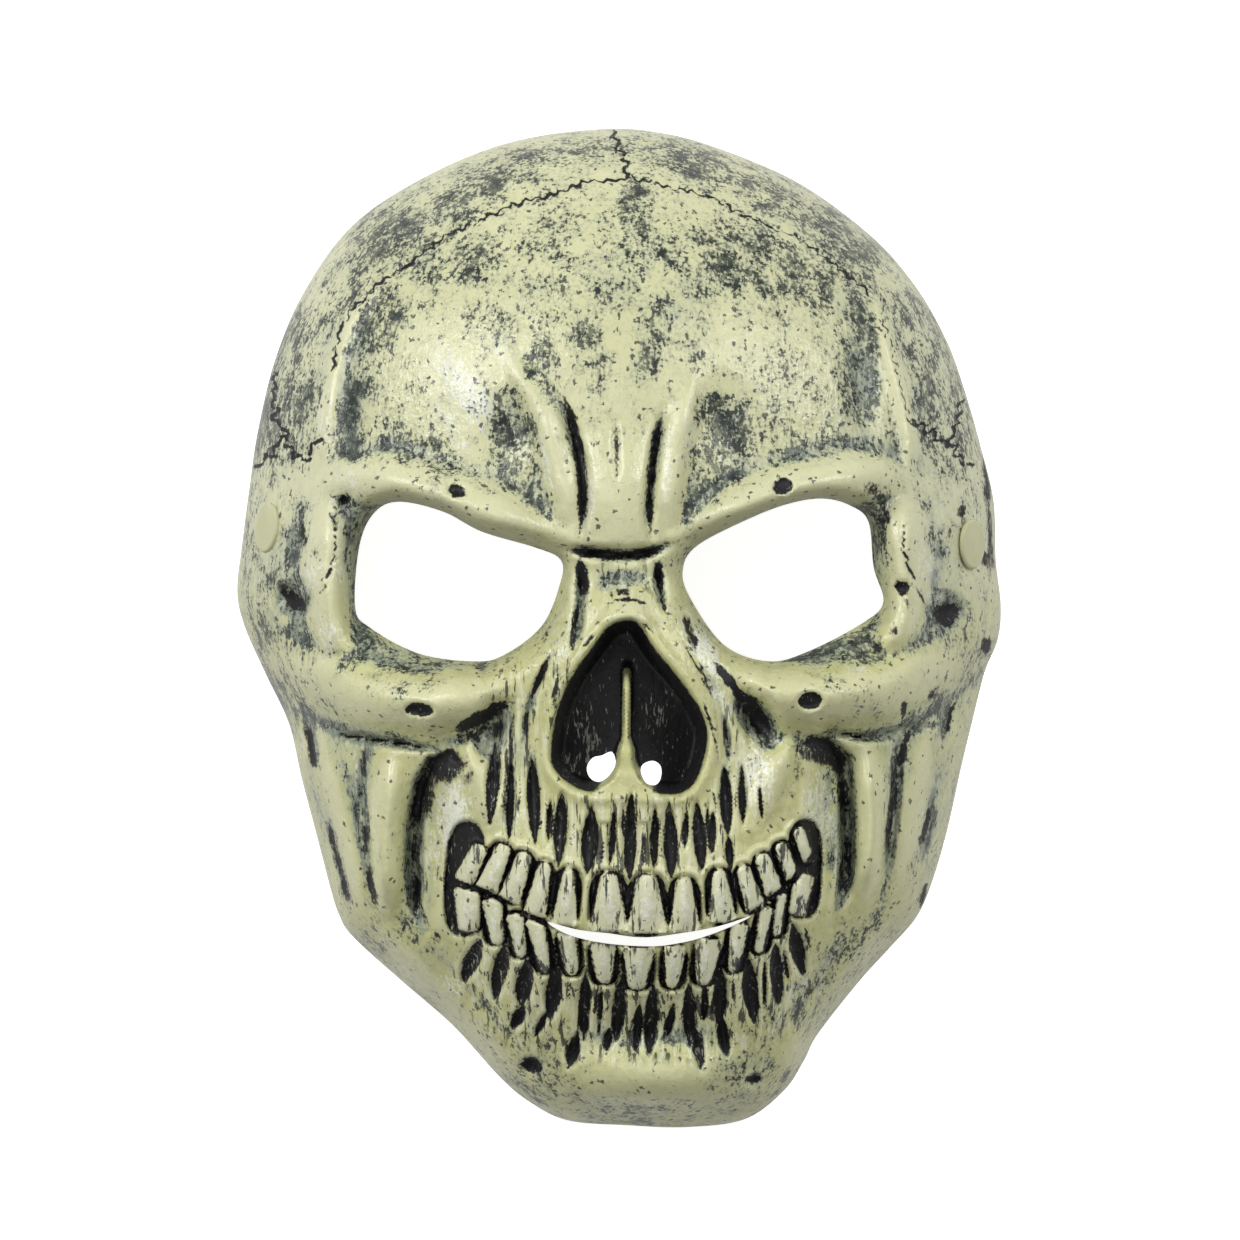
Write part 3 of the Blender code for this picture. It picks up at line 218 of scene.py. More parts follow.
UPPER_TEETH = rows_of(
    Tooth,
    (-38.4, -61.2, 4.4, 9.9, 24, 0.2), (-32.4, -62.5, 4.4, 12.7, 23, 0.3),
    (-26.7, -64.6, 4.4, 12.7, 20, 0.3), (-20.9, -68.2, 4.2, 14.3, 12, 0.4),
    (-13.9, -69.8, 4.2, 14, 5, 0.5), (-3, -71.1, 6.5, 14.6, 1, 0.52), (6.9, -71.6, 7, 14.6, 0, 0.5),
    (16.5, -71.9, 5.2, 13.5, -1, 0.52), (25.9, -69.5, 4.7, 13, -4, 0.5),
    (33.4, -67.7, 3.9, 11.7, -18, 0.35), (38.4, -64.4, 3.9, 11.4, -18, 0.2),
    (43, -60.7, 3.1, 9.9, -20, 0.15), (47.7, -56.6, 2.9, 9.4, -22, 0.1),
)
LOWER_TEETH = rows_of(
    Tooth,
    (-39.4, -72.7, 5.5, 10.9, -4, 0.2), (-32.4, -75.8, 3.9, 11.4, -8, 0.35),
    (-26.4, -79.4, 3.4, 10.9, -10, 0.35), (-20.7, -82, 3.4, 13.8, -12, 0.45),
    (-13.1, -83.9, 3.6, 10.9, -8, 0.45), (-4.3, -86.2, 4.7, 10.4, -3, 0.45),
    (4.5, -87.8, 5.7, 10.4, 3, 0.45), (13.7, -87.5, 3.9, 10.4, 4, 0.45),
    (22.2, -86.2, 4.9, 11.4, 8, 0.5), (30, -82.5, 3.4, 12.2, 9, 0.45),
    (36.8, -78.1, 2.6, 11.7, 11, 0.3), (41.2, -74, 2.1, 11.2, 10, 0.1),
    (46.7, -69, 4.4, 10.4, 12, 0.15),
)
UPPER_SLOTS = rows_of(
    Slot,
    (-33, -40.6, 20.1, 3.3, -4), (-28.5, -45.2, 19, 2.4, -2), (-22.4, -44.6, 21.3, 3.3, 2),
    (-18.3, -50.1, 10.4, 1.8, -3), (-15.5, -52.3, 18, 3.6, -3), (-7.9, -54.9, 16.9, 3.9, -4),
    (-2.2, -54.6, 12.8, 2.1, -5), (2.6, -54.1, 21.6, 3.6, -1), (0.7, -50.1, 7.3, 1.5, 0),
    (8.8, -54.5, 16.1, 2.4, -1), (12.9, -54.9, 19.5, 3.6, 2), (16.9, -52.1, 8.3, 1.8, -2),
    (20.4, -53.7, 16.7, 3.3, 5), (22.4, -49.7, 7, 1.1, -2), (23.7, -53, 9.1, 2.4, -2),
    (27.3, -44.9, 16.7, 3, 3), (28.2, -58.4, 7.3, 2.4, 4), (31.5, -43.2, 14.8, 2.1, 1),
    (36.3, -45.4, 7.3, 1.5, 4),
)
LOWER_SLOTS = rows_of(
    Slot,
    (-38.4, -86.3, 10.5, 4.1, -23), (-31.2, -89, 13.7, 3.9, -10), (-24.8, -92, 10.8, 4.5, -8),
    (-26.4, -101, 4.7, 3, -27), (-17.2, -94.2, 13.6, 4.1, -8), (-20.3, -102.3, 6.4, 1.8, -27),
    (-9.2, -98.2, 16.1, 3.3, -2), (-12.2, -109.6, 8, 3.3, -13), (-5.2, -98.9, 12.5, 1.5, -4),
    (-0.5, -98.9, 14.6, 3.6, -5), (-3.2, -106.7, 4.2, 2.4, -7), (4.5, -103.1, 11.5, 2.4, -5),
    (7.9, -101.3, 17.2, 3.6, -3), (13, -101.5, 7.4, 2.1, -10), (17.9, -100.2, 15.1, 3.6, 1),
    (20.3, -109.6, 8.9, 2.6, 8), (21.8, -96.9, 8.3, 1.8, -2), (25.7, -95.5, 13, 3.6, -3),
    (26.7, -105.7, 9.5, 3, 9), (33.7, -93.7, 16.2, 4.1, 6), (37.3, -91.7, 11.4, 1.5, 0),
    (40.6, -89.8, 15.1, 3.6, 3), (45.9, -83.3, 12.7, 3.6, 12), (42.8, -87.5, 7.4, 1.5, 8),
)
MOUTH_ENDS = rows_of(
    Tooth,
    (-40.2, -65.1, 10.4, 30.2, 3, 0), (47.5, -62.5, 9.1, 26, 2, 0),
)
BITE_LINES = (
    ((-43.3, -66.2), (-35.8, -68), (-31.1, -70.1), (-27.2, -72.7), (-23.8, -74.5), (-18.9, -76.3)),
    (
        (33.9, -74), (36.5, -72.2), (38.6, -70.1), (41.5, -68.2), (44.9, -65.1), (48, -61.5),
        (50.6, -58.4),
    ),
)
PITS = rows_of(
    Pit,
    (-42.2, 35.2, 2.6, 1.6, -18), (42, 36.5, 2.6, 2.1, 18), (-71.6, 32.9, 1.3, 1.3, 0),
    (-51.9, -21.2, 3.6, 1.8, -5), (49, -18.9, 3.1, 2.3, 5), (-22.8, -113.5, 2.6, 2.1, -20),
    (34.5, -117.1, 2.1, 1.3, 10), (72.9, 10.3, 1.8, 1.8, 0),
)

RIVETS = rows_of(
    Rivet,
    ("strap_rivet_left", -91.6, 25.9), ("strap_rivet_right", 90.6, 21.7),
)


def ease(t):
    """Zero below 0, one above 1, smooth between."""
    t = np.clip(t, 0.0, 1.0)
    return t * t * (3.0 - 2.0 * t)


def bell(t):
    """One at 0, falling smoothly to zero at 1."""
    return np.clip(1.0 - t * t, 0.0, None) ** 2


def rounded_loop(points, step):
    """A closed smooth line through the points, as an even row of new points."""
    p = np.array(points)
    before = np.roll(p, 1, axis=0)
    after = np.roll(p, -1, axis=0)
    beyond = np.roll(p, -2, axis=0)
    t = np.linspace(0.0, 1.0, 24, endpoint=False)[None, :, None]
    a = p[:, None]
    b = after[:, None]
    slope_a = 0.5 * (after - before)[:, None]
    slope_b = 0.5 * (beyond - p)[:, None]
    line = (
        (2 * t**3 - 3 * t**2 + 1) * a
        + (t**3 - 2 * t**2 + t) * slope_a
        + (3 * t**2 - 2 * t**3) * b
        + (t**3 - t**2) * slope_b
    ).reshape(-1, 2)
    closed = np.vstack([line, line[:1]])
    along = np.concatenate([[0.0], np.cumsum(np.hypot(*np.diff(closed, axis=0).T))])
    count = step if isinstance(step, int) else max(8, round(along[-1] / step))
    wanted = np.linspace(0.0, along[-1], count, endpoint=False)
    return np.stack([np.interp(wanted, along, closed[:, i]) for i in (0, 1)], axis=1)


def to_line(x, y, points, closed=False):
    """Distance of each place from the line through the points, and how far along the line it is."""
    p = np.array(points)
    ends = np.roll(p, -1, axis=0) if closed else p[1:]
    starts = p if closed else p[:-1]
    lengths = np.hypot(*(ends - starts).T)
    gone = np.concatenate([[0.0], np.cumsum(lengths)])
    best = np.full(x.shape, 1e9)
    along = np.zeros(x.shape)
    for (ax, ay), (bx, by), length, before in zip(starts, ends, lengths, gone):
        t = ((x - ax) * (bx - ax) + (y - ay) * (by - ay)) / max(length**2, 1e-9)
        t = np.clip(t, 0.0, 1.0)
        d = np.hypot(x - ax - t * (bx - ax), y - ay - t * (by - ay))
        along = np.where(d < best, (before + t * length) / gone[-1], along)
        best = np.minimum(best, d)
    return best, along


def inside_by(x, y, loop):
    """Distance from a closed loop, positive inside it."""
    distance, _ = to_line(x, y, loop, closed=True)
    odd = np.zeros(x.shape, bool)
    for (ax, ay), (bx, by) in zip(loop, np.roll(loop, -1, axis=0)):
        crosses = (ay > y) != (by > y)
        odd ^= crosses & (x < ax + (y - ay) * (bx - ax) / (by - ay + 1e-12))
    return np.where(odd, distance, -distance)


def around(x, y, points, reach):
    """Which places lie near the points, so that a small feature is only worked out there."""
    low = np.min(points, axis=0) - reach
    high = np.max(points, axis=0) + reach
    return np.nonzero((x > low[0]) & (x < high[0]) & (y > low[1]) & (y < high[1]))[0]


def turned(x, y, row, turn):
    """Places seen from a row's middle, in axes turned by so many degrees."""
    c = math.cos(math.radians(turn))
    s = math.sin(math.radians(turn))
    return (x - row.x) * c + (y - row.y) * s, (y - row.y) * c - (x - row.x) * s


OUTLINE_LOOP = rounded_loop(OUTLINE, 360)
EYE_LOOPS = [rounded_loop(EYE_LEFT, 1.8), rounded_loop(EYE_RIGHT, 1.8)]
NOSE_LOOP = rounded_loop(NOSE_PIT, 1.3)
OUTLINE_ANGLES = np.arctan2(OUTLINE_LOOP[:, 1] - DOME_MIDDLE[1], OUTLINE_LOOP[:, 0] - DOME_MIDDLE[0])
OUTLINE_ORDER = np.argsort(OUTLINE_ANGLES)
OUTLINE_REACH = np.hypot(OUTLINE_LOOP[:, 0] - DOME_MIDDLE[0], OUTLINE_LOOP[:, 1] - DOME_MIDDLE[1])


def rim_level(y):
    """Height of the rim: on the table all round, and lifted under the chin."""
    return CHIN_LIFT * ease((-y - 84.0) / 46.0)


def share_out(x, y):
    """How far out each place is: 0 in the middle of the dome, 1 at the outline."""
    dx = x - DOME_MIDDLE[0]
    dy = y - DOME_MIDDLE[1]
    angles = OUTLINE_ANGLES[OUTLINE_ORDER]
    reach = OUTLINE_REACH[OUTLINE_ORDER]
    return np.hypot(dx, dy) / np.interp(np.arctan2(dy, dx), angles, reach, period=2 * math.pi)


def dome_power(x, y):
    """The face is round at the crown and fuller, with steeper sides, towards the jaw."""
    down = DOME_MIDDLE[1] - y
    reach = np.hypot(x - DOME_MIDDLE[0], down) + 1e-9
    return DOME_POWER + JAW_POWER * np.clip(down / reach, 0.0, 1.0) ** 2


def dome(x, y):
    u = np.clip(share_out(x, y), 0.0, 1.0)
    p = dome_power(x, y)
    floor = rim_level(y)
    return floor + (DOME_HEIGHT - floor) * (1.0 - u**p) ** (1.0 / p)


def line_profile(x, y, row):
    """A rounded strip along the row's line, tapering at both ends."""
    distance, along = to_line(x, y, row.points)
    taper = 0.15 + 0.85 * ease(np.minimum(along, 1.0 - along) / 0.3)
    return row.high * bell(distance / (row.wide * (0.5 + 0.5 * taper))) * taper


def joined(x, y, rows, power):
    """Strips that join where they cross, without doubling."""
    total = np.zeros(x.shape)
    for row in rows:
        near = around(x, y, row.points, row.wide)
        total[near] += line_profile(x[near], y[near], row) ** power
    return total ** (1.0 / power)


def bones(x, y):
    """Raised bone: swellings add up, ridges join, and grooves are cut into both."""
    total = joined(x, y, RIDGES, 4.0) - joined(x, y, GROOVES, 3.0)
    for row in BLOBS:
        near = around(x, y, [(row.x, row.y)], max(row.wide, row.tall))
        u, v = turned(x[near], y[near], row, row.turn)
        total[near] += row.high * bell(np.hypot(u / row.wide, v / row.tall))
    return total


def sockets(x, y):
    """The rolled edge that goes back into each eye hole."""
    drop = np.zeros(x.shape)
    for loop in EYE_LOOPS:
        middle = loop.mean(axis=0)
        near = around(x, y, loop, SOCKET_ROLL_LOW)
        nx, ny = x[near], y[near]
        up = (ny - middle[1]) / (np.hypot(nx - middle[0], ny - middle[1]) + 1e-9)
        roll = SOCKET_ROLL_LOW + (SOCKET_ROLL_TOP - SOCKET_ROLL_LOW) * np.clip(up, 0.0, 1.0)
        t = np.clip(1.0 + inside_by(nx, ny, loop) / roll, 0.0, 0.97)
        drop[near] = SOCKET_DEPTH * (1.0 - np.sqrt(1.0 - t * t)) / 0.757
    return drop


def septum_side(x, y):
    """Distance from the middle of the nose's septum, and half its thickness there."""
    from_middle = np.abs(x - 1.6 - 0.012 * (y + 20.0))
    half = 0.9 + 1.1 * ease((-27.5 - y) / 5.0) + 4.6 * ease((-33.0 - y) / 11.0)
    return from_middle, half


def nose(x, y):
    """Height added round and in the nose: a lip, the deep pit, the septum and the spine under it."""
    added = np.zeros(x.shape)
    near = around(x, y, NOSE_LOOP, NOSE_REACH)
    nx, ny = x[near], y[near]
    depth = inside_by(nx, ny, NOSE_LOOP)
    pit = NOSE_DEPTH * ease((depth + 0.6) / NOSE_WALL)
    lip = NOSE_LIP * np.exp(-(((depth + 1.6) / 1.4) ** 2))
    from_middle, half = septum_side(nx, ny)
    wall = ease(1.6 - from_middle / half)
    rise = SEPTUM_HEIGHT + 8.0 * ease((-31.0 - ny) / 7.0)
    length = ease((-8.0 - ny) / 8.0) * ease((ny + 51.0) / 7.0)
    added[near] = lip - pit + np.minimum(rise * wall * length, pit + 1.0)
    return added


def socket_reach(x, y, row, margin):
    """1 on the edge of a tooth's socket in the gum, less inside it."""
    u, v = turned(x, y, row, -row.lean)
    wide = row.wide / 2 + margin
    tall = row.tall / 2 + 0.6 * margin
    return (np.abs(u / wide) ** 2.4 + np.abs(v / tall) ** 3.4) ** 0.35


def tooth_face(x, y, row, way):
    """One tooth: a flat face, narrow at the gum, with flanks that are steeper at the tip."""
    u, v = turned(x, y, row, -row.lean)
    half = row.tall / 2
    side = row.wide / 2 * (1.0 - way * row.taper * np.clip(v / half, -1.0, 1.0))
    over = np.abs(u) - side + 1.0
    past = np.abs(v) - half + 1.0
    off = np.hypot(np.maximum(over, 0.0), np.maximum(past, 0.0))
    off = off + np.minimum(np.maximum(over, past), 0.0)
    to_gum = np.clip(0.5 + 0.5 * way * v / half, 0.0, 1.0)
    flat = ease(1.0 - (off - 1.0) / (0.6 + 0.9 * to_gum))
    return flat * (0.86 + 0.14 * bell(u / (side + 0.5)))


def mouth_parts(x, y):
    """Socket recess, raised gum edge, teeth and slots, each from 0 to 1."""
    recess = np.zeros(x.shape)
    edge = np.zeros(x.shape)
    teeth = np.zeros(x.shape)
    slots = np.zeros(x.shape)
    for row in MOUTH_ENDS:
        near = around(x, y, [(row.x, row.y)], row.tall)
        r = socket_reach(x[near], y[near], row, 0.0)
        recess[near] = np.maximum(recess[near], ease((1.08 - r) / 0.16))
    for rows, way in ((UPPER_TEETH, 1.0), (LOWER_TEETH, -1.0)):
        for row in rows:
            near = around(x, y, [(row.x, row.y)], row.tall / 2 + row.wide / 2 + 2 * GUM_MARGIN)
            nx, ny = x[near], y[near]
            r = socket_reach(nx, ny, row, GUM_MARGIN)
            recess[near] = np.maximum(recess[near], ease((1.1 - r) / 0.18))
            edge[near] = np.maximum(edge[near], bell((r - 1.2) / 0.2))
            high = 0.6 + 0.4 * min(1.0, row.wide / 5.5)
            teeth[near] = np.maximum(teeth[near], high * tooth_face(nx, ny, row, way))
    for line in BITE_LINES:
        near = around(x, y, line, 3 * BITE_GAP)
        distance, along = to_line(x[near], y[near], line)
        teeth[near] *= 1.0 - 0.65 * bell(distance / BITE_GAP)
    for row in UPPER_SLOTS + LOWER_SLOTS:
        near = around(x, y, [(row.x, row.y)], row.length / 2 + row.wide)
        u, v = turned(x[near], y[near], row, row.lean)
        along = np.clip(1.0 - (2 * v / (row.length + 2.5)) ** 2, 0.0, None)
        width = row.wide * (0.12 + 0.68 * along)
        deep = min(1.0, 0.35 + 0.22 * row.wide)
        slots[near] = np.maximum(slots[near], deep * bell(u / width) * along**0.5)
    return recess, edge, teeth, slots


def mouth(x, y):
    """Teeth standing in sockets, under a raised gum edge, with long slots in the gums."""
    recess, edge, teeth, slots = mouth_parts(x, y)
    gum = (GUM_EDGE * edge - SLOT_DEPTH * slots) * (1.0 - recess)
    return TOOTH_HEIGHT * teeth + gum - GUM_RECESS * recess


def pits(x, y):
    deep = np.zeros(x.shape)
    for row in PITS:
        near = around(x, y, [(row.x, row.y)], 1.4 * max(row.wide, row.tall))
        u, v = turned(x[near], y[near], row, row.turn)
        reach = np.hypot(u / row.wide, v / row.tall)
        deep[near] = np.maximum(deep[near], PIT_DEPTH * ease(1.6 - 1.2 * reach))
    return deep


def carved(x, y):
    """The outer face, with all its relief but without the rivet seats."""
    u = share_out(x, y)
    relief = bones(x, y) - sockets(x, y) + nose(x, y) + mouth(x, y) - pits(x, y)
    floor = rim_level(y)
    return np.maximum(dome(x, y) + relief * ease((1.0 - u) / RIM_FADE), floor)


def seat_plane(rivet):
    """The middle of a rivet's seat and the direction it faces, from the plain dome there."""
    step = 1.5
    xs = np.array([rivet.x, rivet.x + step, rivet.x - step, rivet.x, rivet.x])
    ys = np.array([rivet.y, rivet.y, rivet.y, rivet.y + step, rivet.y - step])
    z = dome(xs, ys)
    facing = Vector((-(z[1] - z[2]) / (2 * step), -(z[3] - z[4]) / (2 * step), 1.0)).normalized()
    return Vector((rivet.x, rivet.y, z[0])), facing


SEATS = [seat_plane(rivet) for rivet in RIVETS]


def face(x, y):
    """Height of the outer face at each place."""
    z = carved(x, y)
    for middle, facing in SEATS:
        plane = middle.z - (facing.x * (x - middle.x) + facing.y * (y - middle.y)) / facing.z
        off = np.sqrt((x - middle.x) ** 2 + (y - middle.y) ** 2 + (plane - middle.z) ** 2)
        z = z + (plane - z) * ease((SEAT_RADIUS - off) / 2.2)
    return z


def lining(x, y):
    """Height of the inner face: a ball of the wall's radius rolled along under the outer face."""
    low = face(x, y) - WALL
    for share in (0.45, 0.8, 0.98):
        for turn in range(12):
            angle = 2 * math.pi * (turn + share) / 12
            r = share * WALL
            there = face(x + r * math.cos(angle), y + r * math.sin(angle))
            low = np.minimum(low, there - math.sqrt(WALL**2 - r * r))
    return np.maximum(low, rim_level(y))


def moved_in(loop, distance):
    """A loop moved towards its inside."""
    ahead = np.roll(loop, -1, axis=0) - np.roll(loop, 1, axis=0)
    side = np.stack([-ahead[:, 1], ahead[:, 0]], axis=1) / np.hypot(*ahead.T)[:, None]
    area = np.sum(loop[:, 0] * np.roll(loop[:, 1], -1) - np.roll(loop[:, 0], -1) * loop[:, 1])
    return loop + side * distance * math.copysign(1.0, area)


def lattice(coarse, fine):
    """Staggered points over the whole face, closer together round the nose and mouth."""
    found = []
    for step, wanted in ((coarse, False), (fine, True)):
        xs = np.arange(-104.0, 104.0, step)
        ys = np.arange(-134.0, 134.0, step * 0.866)
        gx, gy = np.meshgrid(xs, ys)
        gx = gx + (np.arange(len(ys))[:, None] % 2) * step / 2
        x0, y0, x1, y1 = FINE_BOX
        within = (gx > x0) & (gx < x1) & (gy > y0) & (gy < y1)
        found.append(np.stack([gx[within == wanted], gy[within == wanted]], axis=1))
    return np.vstack(found)


def open_line(points, step):
    """Even points along an open line."""
    p = np.array(points)
    gone = np.concatenate([[0.0], np.cumsum(np.hypot(*np.diff(p, axis=0).T))])
    wanted = np.linspace(0.0, gone[-1], max(2, round(gone[-1] / step) + 1))
    return np.stack([np.interp(wanted, gone, p[:, i]) for i in (0, 1)], axis=1)


def sheet(loops, extra, scatter, keep_off, margin):
    """Triangles over the first loop, less the holes of the others. Loop points come first."""
    holes = loops[1:]
    x, y = scatter.T
    keep = inside_by(x, y, loops[0]) > margin
    for hole in holes:
        keep &= inside_by(x, y, hole) < -keep_off
    placed = np.zeros((0, 2))
    for line in extra:
        line = line[inside_by(line[:, 0], line[:, 1], loops[0]) > 0.3]
        for hole in holes:
            line = line[inside_by(line[:, 0], line[:, 1], hole) < -0.4]
        if len(placed):
            apart = np.hypot(*(line[:, None] - placed[None]).transpose(2, 0, 1)).min(axis=1)
            line = line[apart > keep_off * 0.7]
        placed = np.vstack([placed, line])
    tree = KDTree(len(placed))
    for i, (px, py) in enumerate(placed):
        tree.insert((px, py, 0.0), i)
    tree.balance()
    scatter = scatter[keep]
    free = [tree.find((px, py, 0.0))[2] > keep_off for px, py in scatter] if len(placed) else True
    points = np.vstack(list(loops) + [placed, scatter[free]])
    edges = []
    start = 0
    for loop in loops:
        edges += [(start + i, start + (i + 1) % len(loop)) for i in range(len(loop))]
        start += len(loop)
    out = delaunay_2d_cdt([Vector(p) for p in points.tolist()], edges, [], 0, 1e-5, True)
    origin = [ids[0] for ids in out[3]]
    faces = np.array([[origin[i] for i in face_ids] for face_ids in out[2]])
    middle = points[faces].mean(axis=1)
    good = inside_by(middle[:, 0], middle[:, 1], loops[0]) > 0
    for hole in holes:
        good &= inside_by(middle[:, 0], middle[:, 1], hole) < 0
    return points, faces[good]


# Tables of what only shows: cracks, speckle, wash, gums streaked dark and with painted highlight,
# scratched hollows, dark smudges, white brushing partly painted as highlight and sheen, and brush
# strokes.
CRACKS = lines_of(
    Crack,
    ("crown", 1.3, 0.9, -1.4, 129.9, 0.1, 124.9, 2.2, 121, 2, 116.9),
    ("crown_left", 1, 0.55, 2, 116.9, -3.8, 116.1, -10, 115.6, -16.8, 112.5, -25.1, 110.9, -31.9,
     108.3, -40.7, 103.9, -47.5, 100, -52.9, 95.8, -58.4, 92.4, -63.8, 87.8, -69.8, 82.3, -72.7, 76.8,
     -74.5, 66.7),
    ("crown_right", 0.9, 0.55, 2.7, 116.6, 12.6, 114.5, 22.2, 112.2, 32.4, 107, 40.4, 103.6, 50.1,
     98.9, 54.7, 95, 59.7, 91.1, 64.9, 87),
    ("temple_line", 0.6, 0.5, 67.7, 87, 69, 76.8, 71.9, 68, 73.7, 57.9, 75.3, 52.9),
    ("temple_right", 1.4, 1.15, 75.3, 53.4, 81.2, 50.3, 85.4, 46.9, 88.8, 43.6, 90.9, 41.5),
    ("temple_right_branch", 1.2, 1, 89, 59.7, 86.7, 52.9, 85.4, 47.5),
    ("temple_left", 1.3, 1.1, -90.4, 66.7, -88.8, 52.9, -87.5, 49.5, -95, 41.7),
    ("temple_left_branch", 1.4, 1, -87.5, 49.5, -84.1, 44.9, -80.7, 44.1, -78.7, 49.5),
)
SPECKLES = rows_of(
    Patch,
    (-84.9, -12.3, 9.5, 13.5, 0, 0.5), (-71.9, -8.5, 7.4, 10.1, 0, 0.4),
    (-93.5, -3.2, 5.4, 13.5, 0, 0.5), (-75.8, -18.9, 10.1, 5.4, -10, 0.4),
    (67.2, -18.9, 10.1, 6.8, 10, 0.5), (62, -5.9, 8.1, 8.1, 0, 0.5), (81.5, -8.5, 10.1, 13.5, 0, 0.4),
    (94.5, -5.9, 2.7, 4.7, 0, 0.7), (-30.3, 51.4, 4.7, 12.2, 24, 0.6),
    (-23.8, 42.2, 7.4, 4.1, -10, 0.5), (17.8, 44.9, 3.4, 8.1, 0, 0.4),
    (-86.2, 72.2, 10.1, 16.9, -20, 0.5), (-93.5, 51.4, 5.4, 13.5, -10, 0.6),
    (88, 54, 4.7, 16.9, 8, 0.5), (76.3, 74.8, 8.1, 16.9, 20, 0.5), (-96.6, 27.9, 3.4, 13.5, 0, 0.4),
    (-31.6, 116.9, 20.3, 7.4, 25, 0.5), (-47.2, 104.7, 16.9, 8.5, 30, 0.6),
    (-60.2, 102, 13.5, 13.5, 0, 0.5), (-5.6, 124.2, 16.9, 5.1, 0, 0.35),
    (20.4, 120.2, 20.3, 7.4, -20, 0.5), (38.6, 112.5, 20.3, 8.5, -28, 0.45),
    (54.2, 104.7, 16.9, 8.5, -35, 0.45), (62, 95.5, 10.1, 10.1, 0, 0.5),
    (-64.1, 82.5, 13.5, 10.1, 0, 0.5), (-39.4, 95.5, 16.9, 8.5, 20, 0.45),
    (-19.9, 100.8, 13.5, 10.1, 0, 0.3), (4.8, 107.2, 6.8, 13.5, 0, 0.6),
    (-3, 87.8, 20.3, 13.5, 0, 0.45), (10, 95.5, 20.3, 13.5, 0, 0.45), (30.8, 93, 20.3, 16.9, 0, 0.5),
    (46.4, 87.8, 16.9, 13.5, 0, 0.5), (-8.2, 74.8, 10.1, 6.8, 0, 0.7), (8.7, 77.4, 10.1, 13.5, 0, 0.5),
    (-16, 85.2, 20.3, 13.5, 0, 0.4), (-5.6, 67, 6.8, 10.1, 0, 0.6), (7.4, 69.5, 5.1, 10.1, 0, 0.6),
    (20.4, 77.4, 16.9, 13.5, 0, 0.3), (-61.5, 69.5, 13.5, 16.9, 0, 0.45),
    (-51.1, 54, 20.3, 13.5, 0, 0.3), (-70.6, 51.4, 8.5, 10.1, 0, 0.6),
    (-34.2, 77.4, 10.1, 10.1, 0, 0.5), (60.7, 63.1, 7.4, 13.5, 0, 0.85), (62, 77.4, 8.5, 13.5, 0, 0.6),
    (41.2, 59.1, 20.3, 16.9, 0, 0.35), (25.6, 51.4, 11.8, 13.5, 0, 0.75),
    (28.2, 44.9, 10.1, 6.8, 0, 0.8), (-27.7, 51.4, 11.8, 16.9, 20, 0.7),
    (-19.9, 69.5, 6.8, 16.9, 0, 0.7), (-83.6, 61.8, 6.8, 20.3, 0, 0.5),
    (-86.2, 48.8, 10.1, 10.1, 0, 0.6), (80.2, 59.1, 8.5, 23.7, 0, 0.35),
    (85.4, 46.1, 10.1, 10.1, 0, 0.4), (-47.2, 38.4, 13.5, 6.8, 0, 0.3),
    (-57.6, 43.6, 16.9, 6.8, 0, 0.3), (-86.2, -3.2, 10.1, 20.3, 0, 0.35),
    (-90.1, 7.2, 10.1, 13.5, 0, 0.4), (88, -3.2, 10.1, 16.9, 0, 0.35),
    (-83.6, -18.9, 8.5, 13.5, 0, 0.4), (-68, -96.9, 13.5, 20.3, 30, 0.3),
    (-52.4, -99.5, 13.5, 13.5, 0, 0.35), (51.6, -99.5, 16.9, 13.5, 0, 0.35),
    (46.4, -117.7, 13.5, 10.1, 0, 0.35), (-23.8, -117.7, 16.9, 13.5, 0, 0.4),
    (4.8, -125.5, 27, 6.8, 0, 0.35), (30.8, -119, 13.5, 10.1, 0, 0.35),
    (-39.4, -112.5, 13.5, 10.1, -20, 0.35), (-60.2, -81.2, 13.5, 10.1, 0, 0.35),
    (64.6, -86.5, 13.5, 13.5, 0, 0.35), (-57.6, -16.2, 16.9, 6.8, 0, 0.5),
    (62, -16.2, 20.3, 8.5, 0, 0.55), (20.4, 2, 10.1, 10.1, 0, 0.3), (-16, -3.2, 6.8, 13.5, 0, 0.35),
    (80.2, -18.9, 10.1, 13.5, 0, 0.4),
)
